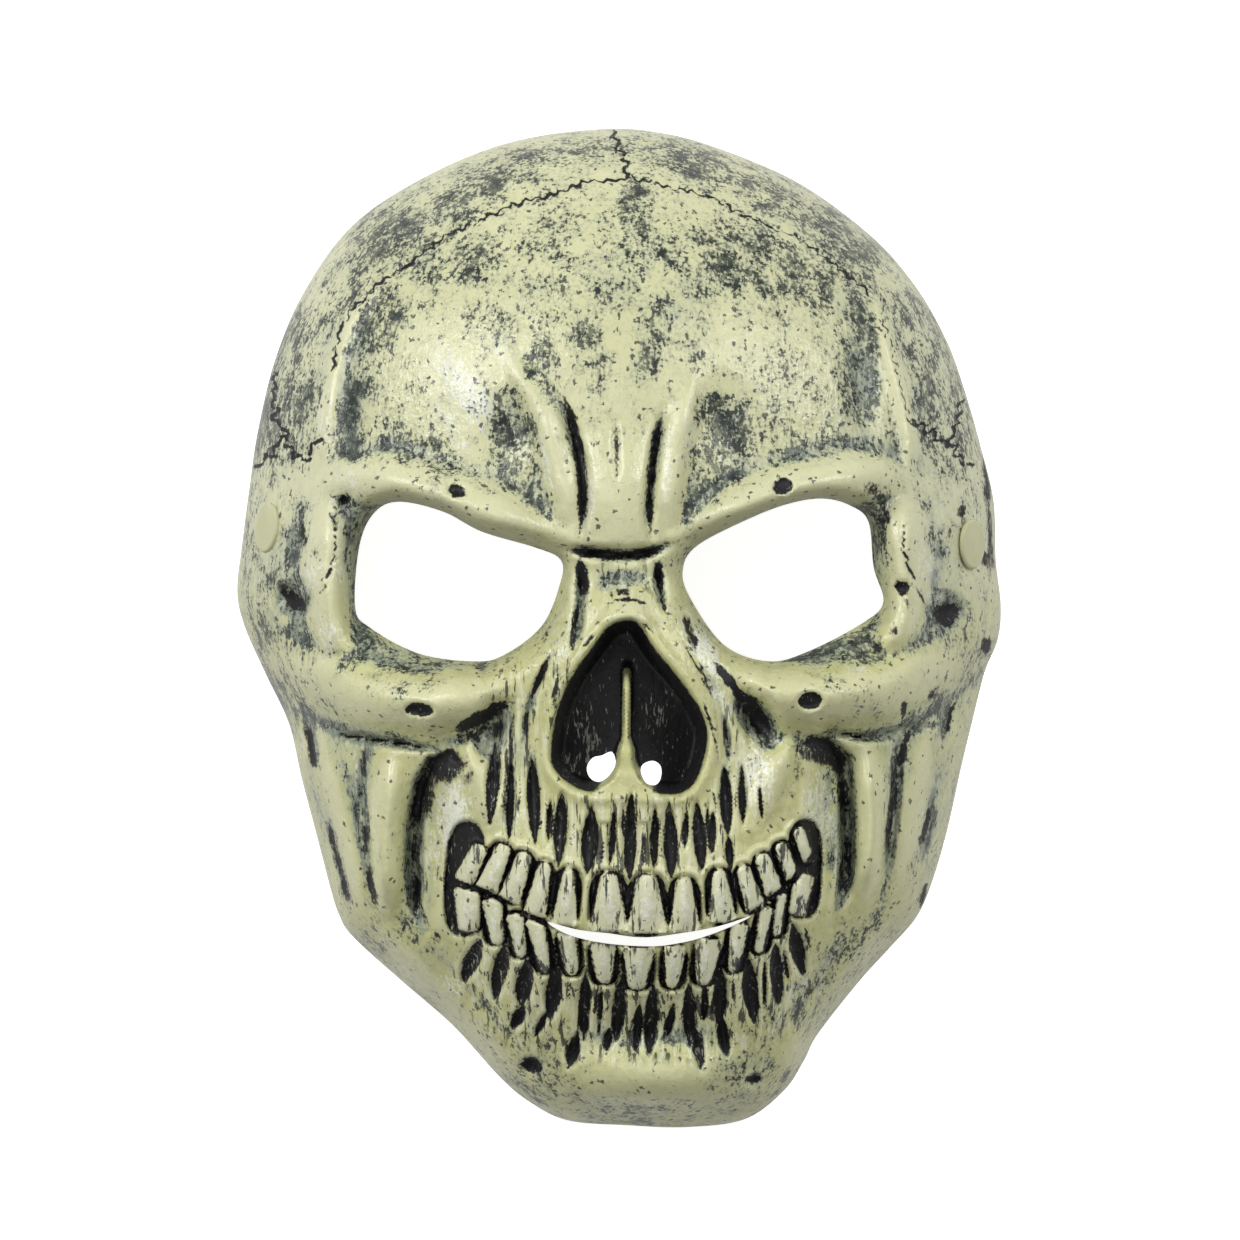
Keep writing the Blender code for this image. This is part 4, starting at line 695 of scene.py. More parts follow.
WASHES = rows_of(
    Patch,
    (-67.5, -42.2, 4.4, 29.1, 0, 0.7), (70.6, -44.9, 4.4, 29.1, 0, 0.7),
    (-70.1, -65.7, 3.6, 14.6, 0, 0.5), (-44.6, -48.8, 6.6, 18.2, 0, 0.5),
    (51.1, -47.5, 6.6, 18.2, 0, 0.5), (60.7, 61.8, 5.1, 14.6, 0, 0.6), (-5.6, -102, 7.3, 7.3, 0, 0.6),
    (17.8, -104.7, 7.3, 5.8, 0, 0.6), (-21.2, -99.5, 5.8, 7.3, 0, 0.5),
    (-16, -112.5, 21.8, 7.3, 0, 0.3), (25.6, -117.7, 18.2, 10.9, 0, 0.4),
    (-70.6, 67, 10.9, 25.5, 0, 0.6), (62, 72.2, 12.7, 29.1, 0, 0.5), (-73.2, 22.8, 6.6, 25.5, 0, 0.4),
    (-51.4, -63.1, 5.1, 21.8, 0, 0.5), (57.3, -57.9, 5.1, 21.8, 0, 0.5),
    (-86.2, 51.4, 14.6, 21.8, 0, 0.4), (82.8, 51.4, 14.6, 29.1, 0, 0.35),
    (-88.8, 12.3, 14.6, 21.8, 0, 0.45), (85.4, 9.8, 14.6, 21.8, 0, 0.45),
    (-57.6, -91.7, 21.8, 18.2, 30, 0.35), (54.2, -94.2, 21.8, 21.8, -20, 0.35),
    (4.8, -120.2, 47.3, 14.6, 0, 0.35), (-31.6, -34.5, 14.6, 21.8, 0, 0.45),
    (32.1, -34.5, 10.9, 21.8, 0, 0.4), (4.8, 87.8, 54.6, 21.8, 0, 0.3),
    (-55, 103.4, 32.8, 18.2, 30, 0.35), (46.4, 100.8, 36.4, 18.2, -30, 0.3),
    (-13.4, -18.9, 7.3, 32.8, 0, 0.4), (20.4, -13.7, 7.3, 32.8, 0, 0.35),
    (-75.8, -44.9, 10.9, 32.8, 0, 0.35), (80.2, -44.9, 14.6, 32.8, 0, 0.35),
)
# Where the gums are streaked dark and with painted highlight streaks.
STREAKED = rows_of(
    Patch,
    (0.9, -54, 37.9, 15.2, 0, 1), (4.8, -99.5, 54.1, 16.2, 0, 1), (-27.7, -30.6, 8.8, 30.4, 4, 0.8),
    (-16, -16.2, 8.8, 23.7, -20, 0.6), (29.5, -29.2, 12.2, 30.4, 8, 0.4),
    (20.4, -5.9, 6.8, 16.9, 25, 0.2), (-0.4, 12.3, 16.9, 13.5, 0, 0.4),
    (-66.7, -44.9, 3.4, 20.3, 0, 0.7), (70.6, -47.5, 3.4, 20.3, 0, 0.7),
    (-51.4, -65.7, 3, 16.9, 0, 0.6), (57.3, -60.5, 3, 16.9, 0, 0.6), (-31.6, -89, 16.9, 16.9, -20, 0.7),
    (43.8, -89, 13.5, 16.9, 10, 0.7),
)
DRY = rows_of(
    Patch,
    (-8.7, -27.9, 4.7, 11.5, 15, 0.7), (8.7, -23, 4.7, 6.8, 0, 0.6), (-12.9, -36.5, 4.1, 6.8, 0, 0.4),
    (46.4, -35.8, 7.4, 6.8, 0, 0.6), (-39.9, -38.4, 4.1, 4.7, 0, 0.5),
    (-53.7, -57.9, 3.4, 10.1, 0, 0.5), (-36.8, -86.5, 4.7, 7.4, -20, 0.5),
    (19.6, -108.5, 4.1, 6.8, 0, 0.5), (70.6, -47.5, 3.4, 16.9, 0, 0.4),
    (-32.9, -37.1, 2.7, 13.5, 0, 0.4),
)
SMUDGES = rows_of(
    Patch,
    (88.5, 30, 1.6, 2.9, -10, 0.8), (94.8, 17.8, 2, 2.9, 0, 0.9), (64.9, 36.3, 2.9, 2.9, -30, 0.7),
    (68.8, 29.5, 2, 4.9, 10, 0.8), (70.6, -0.7, 2, 2.3, 0, 0.8), (-83.6, -24.6, 2, 5.2, 0, 0.4),
    (-78.9, 19.4, 1.6, 5.2, 0, 0.6), (-73.7, 27.9, 2, 4.5, 0, 0.5), (-45.1, -36.3, 9.8, 4.9, 22, 0.95),
    (-49.5, -43, 2.9, 11.1, -14, 0.8), (-39.4, -38.4, 2.6, 4.5, -30, 0.6),
    (52.4, -32.9, 10.4, 4.2, -8, 0.95), (57.6, -42.2, 2.9, 11.1, 6, 0.8),
    (46.4, -36.5, 2.6, 7.2, -10, 0.5), (-33.7, -22.5, 11.7, 2.9, 29, 0.9),
    (-39.9, -27.9, 5.2, 3.9, 20, 0.5), (33.9, -22.2, 8.4, 3.6, -52, 0.9),
    (37.6, -29.2, 2.6, 6.5, -10, 0.6), (-83.6, 5.6, 4.2, 2.3, -20, 0.85), (-87.2, 10.3, 2, 2.9, 0, 0.8),
    (85.4, 4, 5.2, 3.2, 30, 0.95), (82.8, 1.4, 4.5, 2, 0, 0.8), (60.7, 61.2, 2.9, 8.4, 8, 0.6),
    (-29, 50.8, 4.5, 9.8, 24, 0.55), (29.5, 50.8, 4.5, 7.8, 0, 0.5), (-82.3, 22.8, 1.6, 3.9, 0, 0.5),
    (73.7, 9.8, 2.6, 2.6, 0, 0.6), (-43, -56.6, 2.9, 11.1, -4, 0.5), (50.3, -67, 2.6, 9.8, 0, 0.4),
    (-16, -16.2, 1.6, 11.7, -18, 0.5), (-29.5, -37.1, 2, 11.1, -4, 0.5),
)
# White patches, partly dry white brushing and partly painted highlight and sheen.
WHITE_PATCHES_AND_HIGHLIGHTS = rows_of(
    Patch,
    (-82, 10.3, 2.8, 2.8, 0, 0.9), (81.5, 7.7, 3.7, 2.8, 0, 0.9), (80.2, 17.6, 4.4, 9.4, 0, 0.6),
    (-39.4, 60.5, 6.9, 18.7, 35, 0.9), (-43.3, 51.4, 4.4, 12.5, 30, 0.6),
    (-32.4, 73.5, 6.2, 9.4, 30, 0.5), (-7.7, 33.1, 1.6, 12.5, 0, 0.8), (-19.1, 41, 1.9, 12.5, 12, 0.7),
    (12.1, 41, 1.9, 15.6, 0, 0.7), (17.8, 48.8, 3.1, 9.4, -10, 0.5), (-43.3, -48.8, 6.2, 15.6, -8, 1),
    (-48.5, -57.9, 3.7, 12.5, 0, 0.6), (52.1, -48, 6.2, 15.6, 0, 0.8), (34.7, -38.4, 7.5, 12.5, 0, 0.8),
    (-28.5, -48.8, 5, 7.5, 0, 0.6), (21.7, -5.9, 5, 15.6, 30, 0.9), (26.1, -18.9, 3.7, 9.4, 30, 0.8),
    (-16, -3.2, 5, 12.5, -10, 0.5), (-75.8, -3.2, 5.6, 9.4, 0, 0.6), (-71.9, 17.6, 3.7, 12.5, 0, 0.5),
    (62, -5.9, 6.2, 12.5, 0, 0.5), (-79.7, 15, 5, 6.2, 0, 0.6), (36, 59.1, 9.4, 6.2, 0, 0.4),
    (-75.8, 54, 6.2, 12.5, 0, 0.5), (-70.6, 38.4, 6.2, 4.4, 0, 0.5), (-57.6, -91.7, 9.4, 9.4, 0, 0.4),
    (46.4, -96.9, 9.4, 6.2, 0, 0.5), (-43.3, -93, 6.2, 5, 0, 0.6), (46.4, -93, 6.2, 6.2, 0, 0.6),
    (-83.6, -30.6, 4.4, 6.2, 0, 0.4), (-68, -34.5, 3.1, 6.2, 0, 0.4), (82.8, 27.9, 6.2, 18.7, 0, 0.4),
    (-94, 27.9, 3.7, 12.5, 0, 0.4),
)
STROKES = lines_of(
    Stroke,
    (0.85, 0.45, 75, 31.9, 73.5, 25.9, 73.2, 21.2, 74.5, 16, 76.6, 11.3, 79.2, 6.1, 82, 1.4),
    (0.85, 0.45, -76.6, 33.1, -74.2, 26.9, -73.7, 20.7, -75.3, 14.4, -77.9, 7.2),
    (0.9, 1, -88, 11.8, -87.5, 9.2, -85.9, 6.6, -83.1, 4.8, -80.5, 4.5),
    (1, 1.5, -16, 63.1, -12.9, 55.2, -10.8, 46.1, -9.8, 35.8, -10, 27.9, -11.1, 21.2),
    (1, 1.2, 11.3, 57.9, 8.7, 46.1, 7.4, 34.5, 7.9, 21.4),
    (0.75, 0.7, -1.4, 55.2, -0.9, 46.1, -0.9, 36.5),
    (1, 1.5, -15.5, 20.2, -8.2, 19.1, 0.4, 18.6, 7.4, 19.4, 13.1, 22),
    (1, 1.8, -10.8, 18.6, -9.8, 13.7, -9.5, 9.8, -10, 6.6),
    (0.85, 0.9, -10.5, 7.7, -11.8, 2, -12.3, -3.2, -12.3, -7.4),
    (1, 1.3, 10, 18.6, 9.8, 13.7, 10.5, 8.2), (0.9, 0.6, 10.3, 9.2, 11.1, 6.1, 11.8, 3.2),
    (0.95, 0.5, -5.1, 5.1, -2.5, 6.6, 1.7, 7.2, 5.6, 6.6, 8.7, 5.1),
    (0.9, 1.2, -2, 8.7, 0.7, 9.2, 3.2, 8.5), (0.85, 0.5, -10, -5.6, -8.2, -3.5, -6.4, -1.4),
    (0.7, 0.4, 5.6, 1.4, 7.9, -0.7, 9.2, -2.2),
    (0.9, 1, -17.8, -6.4, -19.9, -11.1, -21.7, -15, -23.5, -19.4),
    (0.8, 0.8, -23.5, -18.9, -24.3, -23.5, -24.6, -29.8),
    (0.7, 0.6, -15.7, -9, -16.2, -14.2, -18.6, -20.4), (0.7, 1.5, 16.2, 4.5, 18.1, -1.2, 19.6, -6.4),
    (0.8, 0.5, 19.9, -7.2, 22.5, -15, 25.1, -20.9),
    (0.7, 0.4, 13.1, 0.7, 17.8, -6.4, 21.7, -14.2, 24.6, -20.4),
    (1, 1.4, 23.8, -8.5, 27.7, -13.1, 30.8, -17.3, 33.9, -20.4),
    (1, 2.8, 30.3, -16.8, 33.9, -20.9, 36.5, -24.6, 37.8, -29.8),
    (0.7, 0.7, 26.1, -22.8, 27.7, -29.2, 27.9, -35.8), (0.6, 0.6, 31.3, -20.2, 32.9, -26.7, 33.9, -35),
    (0.6, 0.5, 20.4, -16.2, 23.5, -25.4, 25.6, -34.5),
    (1, 1.9, -26.9, -18.3, -31.1, -20.4, -35.8, -23, -39.9, -25.1, -43.6, -26.9),
    (0.65, 1.4, -34.2, -24.6, -36.8, -27.7, -37.3, -30.8),
    (0.7, 0.6, -27.4, -20.2, -28.5, -29.2, -28.5, -37.1),
    (0.95, 0.5, -76.8, -25.6, -71.9, -27.9, -62.8, -29.2, -55, -30.3, -46.7, -31.6),
    (1, 2.5, -40.4, -37.1, -44.1, -33.7, -47.7, -35.5, -50.3, -39.6),
    (1, 1.6, -48.8, -36, -51.4, -41, -52.6, -46.1, -53.2, -52.1),
    (0.6, 0.9, -53.2, -51.4, -53.7, -57.9, -53.7, -63.6),
    (0.95, 1.1, -53.2, -62, -52.9, -67, -52.9, -71.4, -53.4, -76.6),
    (0.5, 1.6, -52.4, -74, -48.8, -78.7, -46.1, -83.9),
    (1, 1.3, -81.2, -24.1, -80.5, -29.2, -80, -34.5, -79.4, -38.6),
    (0.35, 1, -79.4, -38.4, -77.9, -43.6, -75.8, -48),
    (0.95, 1.2, -76, -46.9, -74.8, -52.6, -73.2, -59.1, -71.4, -65.7, -70.1, -72.9),
    (0.6, 0.6, -74.2, -57.9, -73.2, -64.4, -71.4, -70.9),
    (0.45, 1.5, -67.5, -28.7, -67, -35, -66.4, -42.2),
    (0.8, 1.3, -66.2, -49.5, -65.9, -55.2, -66.2, -60.5),
    (0.85, 1.2, -65.1, -59.9, -64.9, -65.7, -63.8, -70.3, -62.8, -74),
    (0.6, 0.4, -46.9, -60.5, -47.7, -66.7),
    (0.95, 0.5, 55.8, -27.2, 59.4, -27.7, 62.5, -28.7, 65.7, -29.8),
    (1, 2.5, 45.9, -31.9, 49.5, -29.5, 53.7, -31.3, 56.6, -35, 57.6, -40.7),
    (1, 1.2, 57.1, -38.4, 57.9, -42.8, 58.6, -48), (0.6, 0.9, 58.4, -46.9, 58.9, -53.2),
    (0.85, 1.2, 58.6, -52.6, 59.1, -57.9, 59.1, -61.8, 58.6, -66.2),
    (0.4, 1.3, 58.4, -65.7, 56.8, -71.4, 54.5, -78.1),
    (0.85, 1.2, 75.8, -24.8, 73.5, -30.6, 72.4, -37.6),
    (0.8, 1.5, 72.7, -35.8, 70.6, -44.9, 69.8, -52.6, 69.3, -59.1),
    (0.4, 1.4, 69.3, -57.9, 69.8, -65.7), (0.95, 0.9, 88, -17.6, 85.9, -22.8, 84.6, -29.8),
    (0.8, 1.4, 81, -45.4, 79.7, -51.4, 77.9, -59.1), (0.9, 0.9, 79.7, -65.1, 78.7, -70.9, 77.6, -74.5),
    (0.9, 1, 73.7, -18.3, 73.2, -24.1), (0.7, 1.2, 81.2, -15.7, 80.2, -18.9),
    (0.9, 1.3, 96.3, -1.7, 94.8, -7.4), (0.8, 1.4, 64.6, -3.2, 67.7, -6.9),
    (0.9, 1.2, 69.3, -0.7, 72.4, -0.7), (1, 2.2, -87.2, 9.8, -84.4, 6.6, -81, 5.1),
    (0.6, 1.6, -88.3, 13.7, -87.2, 9.8), (1, 2.4, 81.2, 6.1, 84.4, 2, 87.5, 3),
    (0.8, 1, 94.5, 47.5, 95.8, 35.8, 96.3, 22.8, 97.4, 9.8), (0.8, 0.8, -82.8, 27.9, -81.5, 21.4),
    (0.6, 0.8, 71.1, 13.7, 73.7, 7.2, 76.3, 3.2),
)

FACE_STEP = 1.0
MOUTH_STEP = 0.62
LINING_STEP = 3.0
LINING_FINE_STEP = 1.7
OUTLINE_POINTS = 500
SHEET_RINGS = (0.05, 0.1, 0.15, 0.21, 0.28, 0.36, 0.45)
CRACK_DEPTH = 0.8
CRACK_STEP = 0.8
STROKE_DEPTH = 0.7
TOOTH_ROUND = 0.8
PAINT_STEP = 0.6
CRACK_SIDES = (0.0, -0.32, 0.32, -0.8, 0.8)
SHARP_EDGE = 70.0

# Colours as linear red, green and blue.
CREAM_LOW = (0.57, 0.57, 0.275)
CREAM_HIGH = (0.63, 0.63, 0.325)
CREAM_SHADE = (0.53, 0.53, 0.25)
# Paler cream, painted sheen above and painted highlight on the teeth.
CREAM_PALE_AND_SHEEN = (0.72, 0.725, 0.51)
CREAM_RUBBED = (0.72, 0.72, 0.46)
WASH_THIN = (0.36, 0.41, 0.33)
WASH_DEEP = (0.12, 0.155, 0.15)
# White dry brushing, also used for painted highlight and sheen.
WHITE_BRUSH_AND_HIGHLIGHT = (0.86, 0.88, 0.78)
SPOT_EDGE = (0.2, 0.24, 0.2)
SPOT = (0.018, 0.028, 0.024)
PORE = (0.035, 0.04, 0.042)
# Painted highlight streaks on the gums and tooth roots.
STREAK_HIGHLIGHT = (0.78, 0.78, 0.6)
STREAK_DARK = (0.025, 0.028, 0.032)
SOOT = (0.0045, 0.0045, 0.006)
SOOT_RUBBED = (0.33, 0.34, 0.3)
LINING_COLOURS = ((0.5, 0.49, 0.31), (0.6, 0.58, 0.38))
RIVET_COLOURS = ((0.56, 0.56, 0.33), (0.64, 0.64, 0.4))

# The studio, in metres and watts. The floor's glow is given off the camera's rays and on them.
FLOOR_SIZE = 120.0
FLOOR_GAP = 0.0002
FLOOR_GLOW = (0.13, 0.9)
ROOM_LIGHT = 0.15
CAMERA_AWAY = 6.0
CAMERA_AIM = (0.00026, 0.00194, 0.035)
PHOTO_SPAN = 0.3224
LIGHTS = rows_of(
    Light,
    ("key_left", (-0.88, 0.68, 0.95), (0.0, 0.02, 0.04), 0.42, 11.2),
    ("key_right", (0.9, 0.7, 0.95), (0.0, 0.02, 0.04), 0.42, 8.8),
    ("front", (-0.25, 0.15, 1.5), (0.0, 0.0, 0.04), 0.7, 3.6),
    ("fill_low", (0.0, -0.75, 1.2), (0.0, 0.0, 0.04), 0.8, 1.3),
)


def crack_lines():
    """Each crack as a jagged line of points, the same every run."""
    lines = []
    for number, crack in enumerate(CRACKS):
        middle = open_line(crack.points, CRACK_STEP)
        ahead = np.gradient(middle, axis=0)
        side = np.stack([-ahead[:, 1], ahead[:, 0]], axis=1) / np.hypot(*ahead.T)[:, None]
        chance = np.random.default_rng(70 + number)
        shake = chance.uniform(-1.0, 1.0, len(middle))
        bends = chance.uniform(-1.0, 1.0, len(middle) // 3 + 2)
        slow = np.interp(np.arange(len(middle)), 3 * np.arange(len(bends)), bends)
        zigzag = np.where(np.arange(len(middle)) % 4 < 2, 1.0, -1.0)
        off = crack.jag * (0.6 * shake + 0.9 * slow + 0.55 * zigzag)
        lines.append((crack, middle + side * off[:, None]))
    return lines


CRACK_LINES = crack_lines()


def cracked(x, y):
    """How much of a crack runs through each place, from 0 to 1."""
    found = np.zeros(x.shape)
    for crack, line in CRACK_LINES:
        near = around(x, y, line, 2.0)
        distance, along = to_line(x[near], y[near], line)
        width = 0.62 * crack.wide
        uneven = 0.6 + 0.4 * np.sin(37.0 * along) ** 2
        depth = bell(distance / width) * uneven * min(1.0, crack.wide + 0.2)
        found[near] = np.maximum(found[near], depth)
    return found


def hatched(x, y):
    """Small dents and tool marks all over, in mm, as a sum of slanted waves that fade in and out."""
    total = np.zeros(x.shape)
    for i in range(9):
        angle = math.radians(20.0 + 41.0 * i)
        u = x * math.cos(angle) + y * math.sin(angle)
        v = y * math.cos(angle) - x * math.sin(angle)
        total += np.sin(u / (1.3 + 0.31 * i) + 1.7 * i) * np.sin(v / (3.1 - 0.22 * i) + 0.9 * i)
    return total / 9.0


def tooth_marks(x, y):
    """How far up its root half each place on a tooth lies, and a rounded rise across its face."""
    roots = np.zeros(x.shape)
    rise = np.zeros(x.shape)
    for rows, way in ((UPPER_TEETH, 1.0), (LOWER_TEETH, -1.0)):
        for row in rows:
            near = around(x, y, [(row.x, row.y)], row.tall / 2 + 1.0)
            u, v = turned(x[near], y[near], row, -row.lean)
            across = bell(2.0 * u / (row.wide + 1.0))
            up = way * 2.0 * v / row.tall
            root = ease((up + 0.35) / 1.2) * ease(1.6 - np.abs(u) / row.wide * 1.6)
            roots[near] = np.maximum(roots[near], root)
            rise[near] = np.maximum(rise[near], across * bell(up / 1.3))
    return roots, rise


def sculpted(x, y):
    """The outer face with the fine relief that only shows."""
    u = share_out(x, y)
    fade = ease((1.0 - u) / RIM_FADE)
    fine = CRACK_DEPTH * cracked(x, y) + STROKE_DEPTH * stroked(x, y, STROKES) - 0.22 * hatched(x, y)
    fine = fine - TOOTH_ROUND * tooth_marks(x, y)[1] * mouth_parts(x, y)[2]
    return face(x, y) - fine * fade


def smoothed(grid, reach):
    """A grid blurred over so many mm."""
    k = int(3 * reach / PAINT_STEP) + 1
    weights = np.exp(-0.5 * (np.arange(-k, k + 1) * PAINT_STEP / reach) ** 2)
    weights /= weights.sum()
    for axis in (0, 1):
        wide = np.pad(grid, [(k, k) if a == axis else (0, 0) for a in (0, 1)], mode="edge")
        count = grid.shape[axis]
        grid = sum(w * np.take(wide, range(i, i + count), axis=axis) for i, w in enumerate(weights))
    return grid


def read_off(grid, xs, ys, x, y):
    """Values of a grid at places between its points."""
    i = np.clip((x - xs[0]) / PAINT_STEP, 0, len(xs) - 1.001)
    j = np.clip((y - ys[0]) / PAINT_STEP, 0, len(ys) - 1.001)
    i0 = i.astype(int)
    j0 = j.astype(int)
    s = i - i0
    t = j - j0
    low = grid[j0, i0] * (1 - s) + grid[j0, i0 + 1] * s
    high = grid[j0 + 1, i0] * (1 - s) + grid[j0 + 1, i0 + 1] * s
    return low * (1 - t) + high * t


def patches(x, y, rows):
    """Soft oval patches, the strongest where they overlap."""
    total = np.zeros(x.shape)
    for row in rows:
        near = around(x, y, [(row.x, row.y)], max(row.wide, row.tall))
        u, v = turned(x[near], y[near], row, row.turn)
        strength = row.strength * bell(np.hypot(u / row.wide, v / row.tall)) ** 0.6
        total[near] = np.maximum(total[near], strength)
    return total


def stroked(x, y, rows):
    """Brush strokes along lines, thinning out at both ends."""
    total = np.zeros(x.shape)
    for row in rows:
        near = around(x, y, row.points, row.wide + 0.5)
        distance, along = to_line(x[near], y[near], row.points)
        taper = ease(np.minimum(along, 1.0 - along) / 0.28)
        wave = 1.0 + 0.12 * np.sin(23.0 * along + row.wide * 7.0)
        width = row.wide * (0.35 + 0.65 * taper) * wave
        strength = row.strength * ease(1.45 - 1.1 * distance / width) * (0.4 + 0.6 * taper)
        total[near] = np.maximum(total[near], strength)
    return total


def root_lines():
    """Thin lines beside each gum slot, the same every run."""
    chance = np.random.default_rng(11)
    rows = []
    for number, slot in enumerate(UPPER_SLOTS + LOWER_SLOTS):
        lean = math.radians(slot.lean)
        for side in ((-1.0, 1.0) if number % 3 == 0 else (1.0,)):
            length = slot.length * chance.uniform(0.35, 0.75)
            off = side * (0.75 * slot.wide + chance.uniform(0.2, 0.9))
            slide = chance.uniform(-0.25, 0.25) * slot.length
            ends = []
            for share in (-0.5, 0.0, 0.5):
                ahead = slide + share * length
                across = off + chance.uniform(-0.25, 0.25)
                ends.append((slot.x + across - ahead * math.sin(lean), slot.y + ahead * math.cos(lean)))
            rows.append(Stroke(chance.uniform(0.4, 0.9), chance.uniform(0.2, 0.45), tuple(ends)))
    return rows


ROOT_LINES = root_lines()


def hollowness(x, y, reaches):
    """How far each place lies below the relief around it, in mm, once for each reach."""
    xs = np.arange(-104.0, 104.5, PAINT_STEP)
    ys = np.arange(-134.0, 134.5, PAINT_STEP)
    gx, gy = np.meshgrid(xs, ys)
    flat = (gx.ravel(), gy.ravel())
    relief = (bones(*flat) + mouth(*flat) - pits(*flat)).reshape(gx.shape)
    return [read_off(smoothed(relief, reach) - relief, xs, ys, x, y) for reach in reaches]


def paint(x, y):
    """The layers that the paint's material reads: named values from 0 to about 1 at each place."""
    fine, broad, wide = hollowness(x, y, (1.3, 4.0, 10.0))
    recess, _, teeth, slots = mouth_parts(x, y)
    roots, rise = tooth_marks(x, y)
    depth = np.full(x.shape, -9.0)
    near = around(x, y, NOSE_LOOP, NOSE_REACH)
    depth[near] = inside_by(x[near], y[near], NOSE_LOOP)
    inside = ease((depth + 0.4) / 1.2)
    outside = 1.0 - inside

    flanks = recess * (1.0 - ease((teeth - 0.5) / 0.38))
    ink = np.maximum(flanks, ease((slots * (1.0 - recess) - 0.13) / 0.4))
    ink = np.maximum(ink, stroked(x, y, STROKES))
    ink = np.maximum(ink, stroked(x, y, ROOT_LINES) * (1.0 - recess))
    ink = np.maximum(ink, ease((pits(x, y) - 0.5) / 0.9))
    ink = np.maximum(ink, patches(x, y, SMUDGES))
    from_middle, half = septum_side(x, y)
    septum = ease(2.4 - 1.6 * from_middle / half) * ease((-8.5 - y) / 5.0)
    ink = np.maximum(ink * outside, inside * (1.0 - 0.9 * septum))
    ink = np.maximum(ink, ease((cracked(x, y) - 0.25) / 0.4))

    upper = ease((y + 5.0) / 30.0)
    towards_rim = ease((np.hypot(x, 0.95 * y) - 84.0) / 18.0)
    towards_side = ease((np.abs(x) - 62.0) / 20.0)
    # The white also takes a painted highlight on the rounded middle of each tooth face.
    white = np.maximum(patches(x, y, WHITE_PATCHES_AND_HIGHLIGHTS), 0.7 * rise * teeth) * outside
    clean = ease((-fine - 0.08) / 0.5) + 0.8 * ease((-broad - 0.3) / 0.9)
    bare = np.maximum(recess, ease((depth + 4.0) / 2.0))
    speckle = 0.33 + 0.12 * upper + (0.2 + 0.02 * upper) * towards_rim + 1.15 * patches(x, y, SPECKLES)
    speckle += 0.5 * ease((broad - 0.1) / 0.9) + 0.15 * ease(wide / 2.0) - 0.3 * clean - 0.25 * white
    wash = patches(x, y, WASHES) + 0.5 * ease((broad - 0.15) / 0.9) + 0.2 * ease(wide / 2.5)
    wash -= 0.3 * clean + 0.6 * white
    on_teeth = np.maximum(0.85 * roots, 0.7 * ease(1.15 - 1.5 * rise)) * recess
    return {
        "ink": np.clip(ink, 0.0, 1.0),
        "speckle": np.clip(speckle * (1.0 - 0.7 * bare), 0.0, 1.15),
        "wash": np.clip(wash * (1.0 - 0.6 * bare), 0.0, 1.0),
        "clean": np.clip(clean, 0.0, 1.0),
        "gum": np.maximum(patches(x, y, STREAKED) * (1.0 - recess), on_teeth) * outside,
        "white": white,
        # Paler cream towards the sides; paler above and on the teeth as painted sheen and highlight.
        "pale": np.clip(0.55 * upper + 0.3 * towards_side + 1.4 * teeth, 0.0, 1.3),
        "dry": 0.25 + patches(x, y, DRY),
    }


def ring_in(loop, angle):
    """The outline drawn in to where the dome has climbed by an angle."""
    dx = loop[:, 0] - DOME_MIDDLE[0]
    dy = loop[:, 1] - DOME_MIDDLE[1]
    share = math.cos(angle) ** (2.0 / dome_power(loop[:, 0], loop[:, 1]))
    return np.stack([DOME_MIDDLE[0] + dx * share, DOME_MIDDLE[1] + dy * share], axis=1)


def beside_cracks():
    """Lines of points along each crack, so that it is cut cleanly."""
    lines = []
    for _, line in CRACK_LINES:
        ahead = np.gradient(line, axis=0)
        side = np.stack([-ahead[:, 1], ahead[:, 0]], axis=1) / (np.hypot(*ahead.T)[:, None] + 1e-9)
        lines += [line + side * off for off in CRACK_SIDES]
    return lines


